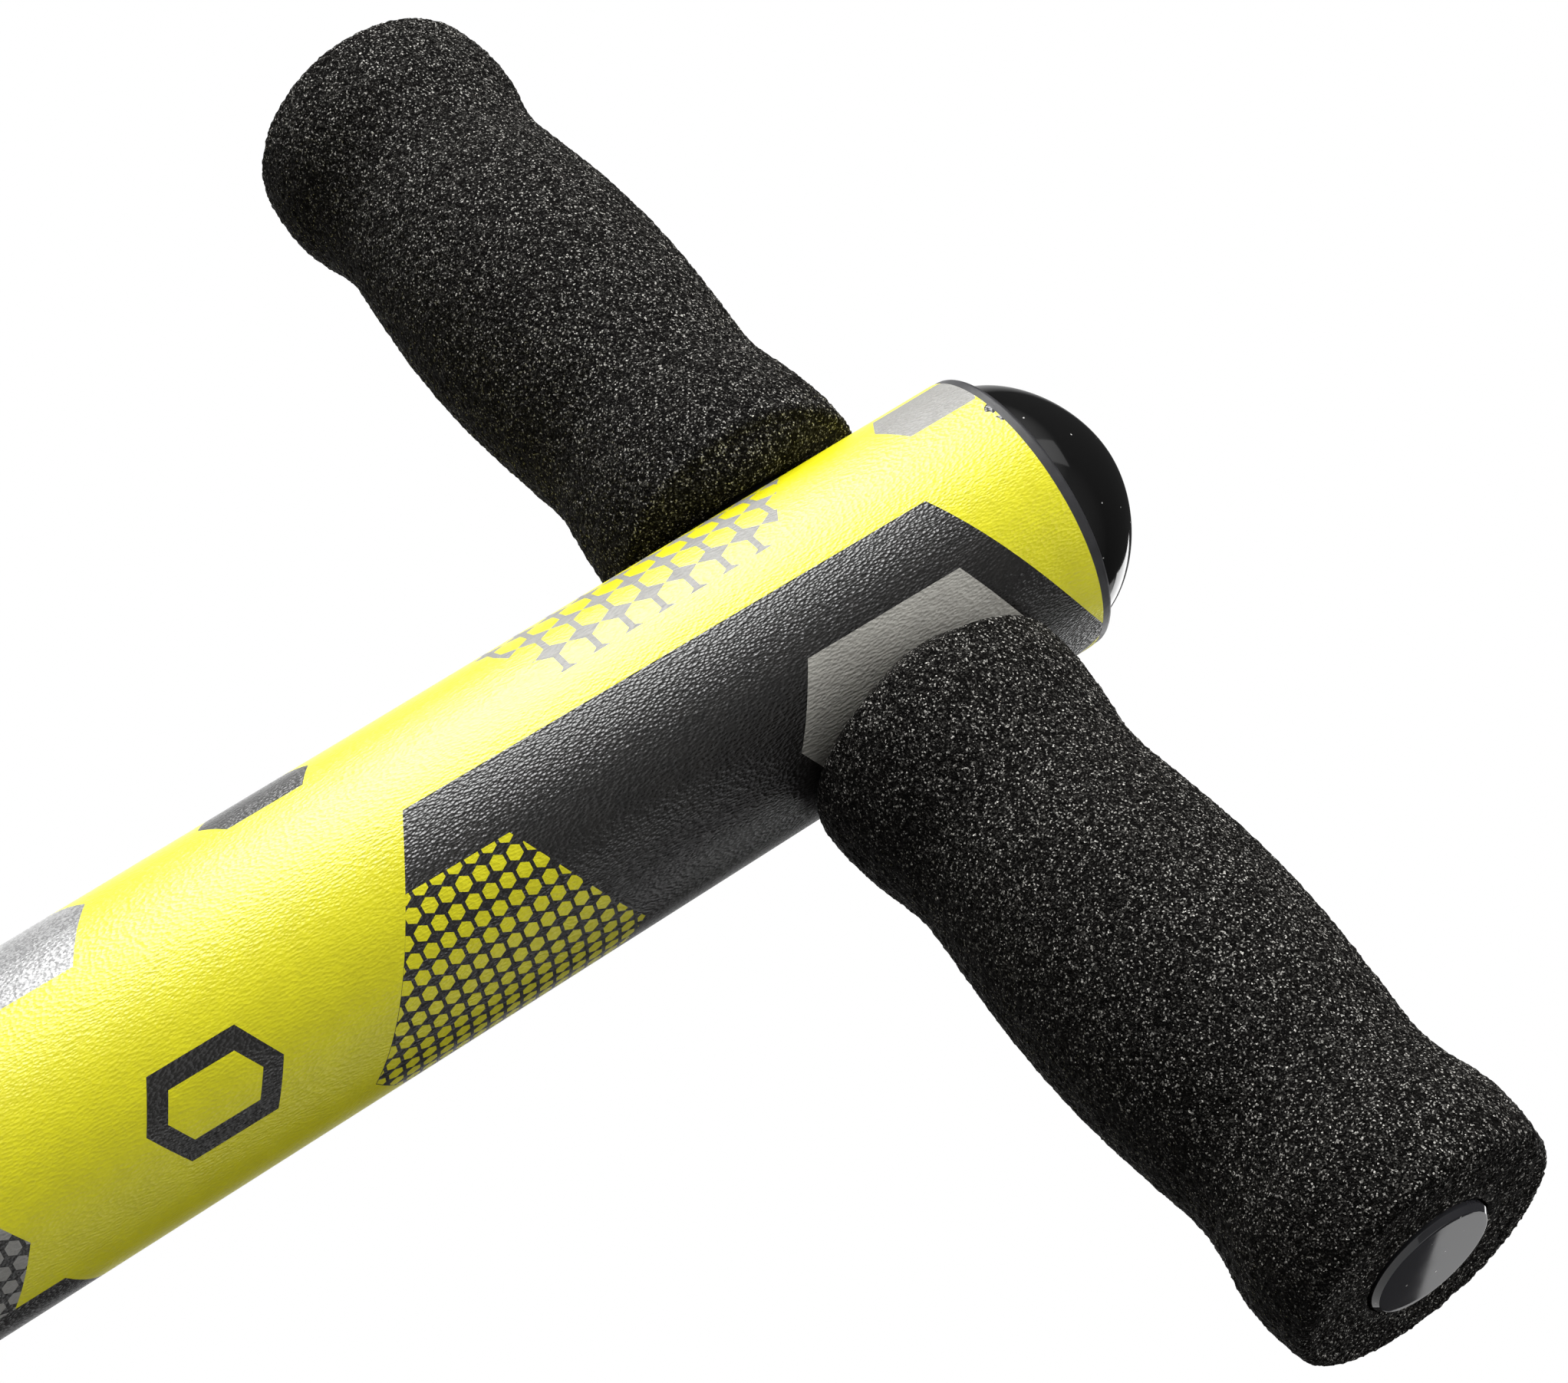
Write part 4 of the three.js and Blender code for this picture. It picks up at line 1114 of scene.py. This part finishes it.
def add_plunger():
    tube = wall(PLUNGER_R - 2, PLUNGER_R, span("plunger_tube"), (0.4, 0.6, 0.6, 0.4), steps=4)
    reach, pin_r = high("piston_pin", X), high("piston_pin", Y)
    across = along("+X", z=middle("piston_pin"))
    pin_hole = (across, pin_r + 0.2)
    shaft = piece("plunger_shaft", CHROME, "plunger_tube", lathe(tube), body="plunger")
    drill(shaft, pin_hole)
    head_r, (bottom, top), centre = high("piston", X), span("piston"), middle("piston")
    bore = PLUNGER_R + 0.25
    head = rounded([
        (bore, bottom, 0.4), (head_r - 1, bottom, 0.3), (head_r, bottom + 1.5, 0.5),
        (head_r, centre - 8, 0.3), (head_r - 1, centre - 7, 0.3), (head_r - 1, centre - 5, 0.3),
        (head_r, centre - 4.6, 0.3), (head_r, top - 1.5, 0.5), (head_r - 1, top, 0.3),
        (bore, top, 0.4),
    ], closed=True, steps=3)
    bearing = piece("piston_bearing", NYLON, "piston", lathe(head), body="plunger")
    drill(bearing, pin_hole)
    pin = rod(pin_r, (-reach, reach), 0.5)
    piece("cross_pin", ZINC, "piston_pin", lathe(pin, 48), across, "plunger")
    cup_r, (bottom, top) = high("spring_seat", X), span("spring_seat")
    cup = rounded([(0, bottom, 0), (cup_r, bottom, 0.5), (cup_r, bottom + 3, 0.5),
                   (15.4, bottom + 3, 0.6), (13.4, top, 0.8), (6, top, 0.8),
                   (5, top - 2, 0.5), (0, top - 2, 0)])
    piece("spring_cup", ZINC, "spring_seat", lathe(cup), body="plunger")
    washer = rod(high("tip_washer", X), span("tip_washer"), 0.5)
    piece("foot_washer", ZINC, "tip_washer", lathe(washer, 64), body="plunger")
    ring = wall(PLUNGER_R + 0.4, 22, span("bumper_ring"), (0.8, 2.5, 2.5, 0.8))
    piece("rebound_ring", RUBBER, "bumper_ring", lathe(ring))


def add_rubber_foot():
    sole, top = high("rubber_foot", X), high("rubber_foot", Z)
    socket = PLUNGER_R + 0.2
    seat = low("tip_washer", Z) - GAP
    neck = 21.0
    under = [(0, 1.6, 0), (5.5, 1.6, 0.5), (6, 0, 0.5)]
    for groove in (10, 18):
        under += [(groove, 0, 0.4), (groove + 0.6, 1.6, 0.4), (groove + 2.2, 1.6, 0.4),
                  (groove + 2.8, 0, 0.4)]
    outline = rounded(under + [(sole, 0, 1.5), (sole, 8, 3), (sole - 1.6, 11, 0)], steps=3)
    for step in range(13):
        part = step / 12
        radius = sole - 1.6 + (neck + 3.2 - sole) * part ** 0.85
        depth = 0.9 * sin(pi * part) ** 0.5
        outline.append((radius, 12 + 29 * part, fluted(radius, depth, 24)))
    upper = [(neck + 1.4, 42, 0), (neck + 0.1, 44.5, 1.5)]
    for z, fillet in ((50, 0.5), (55, 0.3)):
        upper += [(neck, z, fillet), (neck - 0.8, z + 0.6, 0.3), (neck - 0.8, z + 1.6, 0.3),
                  (neck, z + 2.2, 0.3)]
    upper += [(neck, top, 1.6), (socket, top, 1.0), (socket, seat, 0.5), (0, seat, 0)]
    outline += rounded(upper, steps=4)
    piece("foot_rubber", RUBBER, "rubber_foot", lathe(outline, 144), body="plunger")


# ---- Foot pegs and their bracket ----

PLATE_IN = TUBE_R + 0.3
PLATE_OUT = high("foot_bracket", Y)
PEG_DROP = 9.0
PEG_SHEET = 3.0
PEG_HALF = 25.0
PEG_WIDE = high("peg_right", Y)
PEG_END = high("peg_right", X) - PIVOT_X
TREAD_START, TREAD_END = (x - PIVOT_X for x in span("tread_right", X))
TREAD_LOW, TREAD_TOP = (z - PIVOT_Z for z in span("tread_right"))
TREAD_BASE = 6.0
TREAD_SCREWS = (36, 78)  # out from the hinge
RIDGES = 8


def bracket_plate():
    """Outline of a side plate in the XZ plane, about the pivots' height."""
    toe = high("foot_bracket", X)
    right = rounded([(0, -19, 0), (22, -19, 6), (toe - 3, -16, 3), (toe, -13, 2),
                     (toe, -8, 3), (PIVOT_X + 13.9, -2, 0)])
    right += arc(PIVOT_X, 0, 14, -6, 90, 24)
    right += rounded([(PIVOT_X - 3, 14.6, 0), (22, 19, 8), (0, 19, 0)])
    return right + [(-x, z) for x, z in reversed(right)][1:-1]


def weld_bead(x, y, low_z, high_z, seed):
    """A bead of weld along Z, with a ripple for each pool."""
    rows = []
    for part in np.linspace(0, 1, 61):
        ripple = abs(sin(pi * (high_z - low_z) / 1.9 * part + seed))
        taper = min(1, 6 * part + 0.35, 6 * (1 - part) + 0.35)
        rows.append(((1.5 + 0.28 * ripple) * taper, low_z + (high_z - low_z) * part))
    bead = lathe([(0, low_z - 0.5), *rows, (0, high_z + 0.5)], 16)
    return put(bead, Matrix.Translation((x, y, 0)))


def add_bracket():
    bottom, top = span("foot_bracket")
    sleeve = wall(PLATE_IN - 0.1, PLATE_OUT - 0.05, (bottom, top), (0.5, 0.8, 0.8, 0.5), steps=4)
    plate = prism(bracket_plate(), PLATE_IN, PLATE_OUT, 0.7)
    shells = [lathe(sleeve, 128), put(plate, along("-Y", z=PIVOT_Z)),
              put(plate, along("+Y", z=PIVOT_Z))]
    stop = prism(slab(4, 3, 1, 4), -PLATE_IN - 0.5, PLATE_IN + 0.5, 0.2)
    bead_x = sqrt(PLATE_OUT ** 2 - PLATE_IN ** 2) + 0.9
    for side in (-1, 1):
        shells.append(put(stop, along("-Y", side * (PIVOT_X + 14), 0, PIVOT_Z - PEG_DROP - 3.3)))
        shells += [weld_bead(side * bead_x, face * (PLATE_IN - 0.5), bottom + 4, top - 4,
                             2 * side + face) for face in (-1, 1)]
    bracket = piece("peg_bracket", FRAME_COAT, "foot_bracket", join(shells))
    drill(bracket, *[(along("+Y", side * PIVOT_X, 0, PIVOT_Z), BOLT_R + 0.4) for side in (-1, 1)])


def peg_outline(start, inset):
    """The peg seen from above, from a start line out to its end."""
    narrow, wide, end = PEG_HALF - inset, PEG_WIDE - inset, PEG_END - inset
    corner = 9 - inset
    upper = rounded([(start, narrow, 0), (TREAD_START - 1, narrow, 4),
                     (TREAD_START + 5, wide, 4), (end - corner, wide, 0)])
    upper += arc(end - corner, wide - corner, corner, 88, 0)
    return [(x, -y) for x, y in upper] + upper[::-1]


def add_peg(side, sign):
    body = f"peg_{side}"
    turn = Matrix.Rotation(0 if sign > 0 else pi, 4, "Z")
    place = turn @ Matrix.Translation((PIVOT_X, 0, PIVOT_Z))
    across = place @ along("+Y")
    outer, inner = peg_outline(0, 0), peg_outline(0, PEG_SHEET)
    shells = [put(prism(outer, 0, PEG_SHEET, 0.8), place),
              put(prism(outer + inner[::-1], -PEG_DROP, 1.5, 0.7), place)]
    cheek = prism(arc(0, 0, PEG_DROP, 0, 360, 48), -PEG_SHEET / 2, PEG_SHEET / 2, 0.6)
    for face in (-1, 1):
        shells.append(put(cheek, place @ along("+Y", y=face * (PEG_HALF - PEG_SHEET / 2))))
    barrel_end = PEG_HALF - PEG_SHEET + 1
    shells.append(put(lathe(rod(7, (-barrel_end, barrel_end), 0.4), 64), across))
    peg = piece(f"peg_frame_{side}", FRAME_COAT, body, join(shells), body=body)
    drill(peg, (across, BOLT_R + 0.25),
          *[(place @ along("+Z", x=x), SCREW_R + GAP, -2, 5) for x in TREAD_SCREWS])

    half = PEG_WIDE
    pad = [(TREAD_START, -half + 6, 1.5), (TREAD_START + 6, -half, 3), (TREAD_END, -half, 8)]
    pad += [(x, -y, fillet) for x, y, fillet in reversed(pad)]
    shells = [put(prism(rounded(pad, True, 10), TREAD_LOW, TREAD_LOW + TREAD_BASE, 1.2, 4), place)]
    ridge = prism(slab(2, half - 7, 1.8, 5), TREAD_LOW + TREAD_BASE - 1, TREAD_TOP, 0.8)
    shells += [put(ridge, place @ along("+Z", x))
               for x in np.linspace(TREAD_START + 6, TREAD_END - 6, RIDGES)]
    piece(f"peg_tread_{side}", RUBBER, f"tread_{side}", join(shells), body=body)

    for index, x in enumerate(TREAD_SCREWS):
        node = f"tread_screw_{side}_{index + 1}"
        head, tip = (z - PIVOT_Z for z in span(node))
        rows = upside_down(domed_head(4.4, GAP, -head, crossed(0.55, 2.1), 1.4))
        rows += [(SCREW_R, -GAP)] + thread_rows(SCREW_R, 0, tip - 1)
        rows += [(SCREW_R - 0.8, tip), (0, tip)]
        piece(f"tread_fixing_{side}_{index + 1}", ZINC, node, lathe(rows),
              place @ along("+Z", x=x), body)

    seat = high("peg_bolt_right", Y) - 6
    piece(f"hinge_bolt_{side}", ZINC, f"peg_bolt_{side}",
          hex_bolt(6, 2 * seat + 6), turn @ along("+Y", PIVOT_X, -seat, PIVOT_Z))
    piece(f"hinge_nut_{side}", ZINC, f"peg_nut_{side}",
          hex_nut(f"peg_nut_{side}"), turn @ along("+Y", PIVOT_X, seat, PIVOT_Z))


# ---- Put it together ----

SCENE.view_settings.view_transform = "Standard"
add_camera()
add_world()
add_floor()
add_lamps()
add_tube()
add_film()
add_cap()
add_handlebar()
for side, sign in SIDES:
    add_bar_plug(side, sign)
    add_grip(side, sign)
add_bar_fastening()
add_spring()
add_spring_stop()
add_collar()
add_plunger()
add_rubber_foot()
add_bracket()
for side, sign in SIDES:
    add_peg(side, sign)
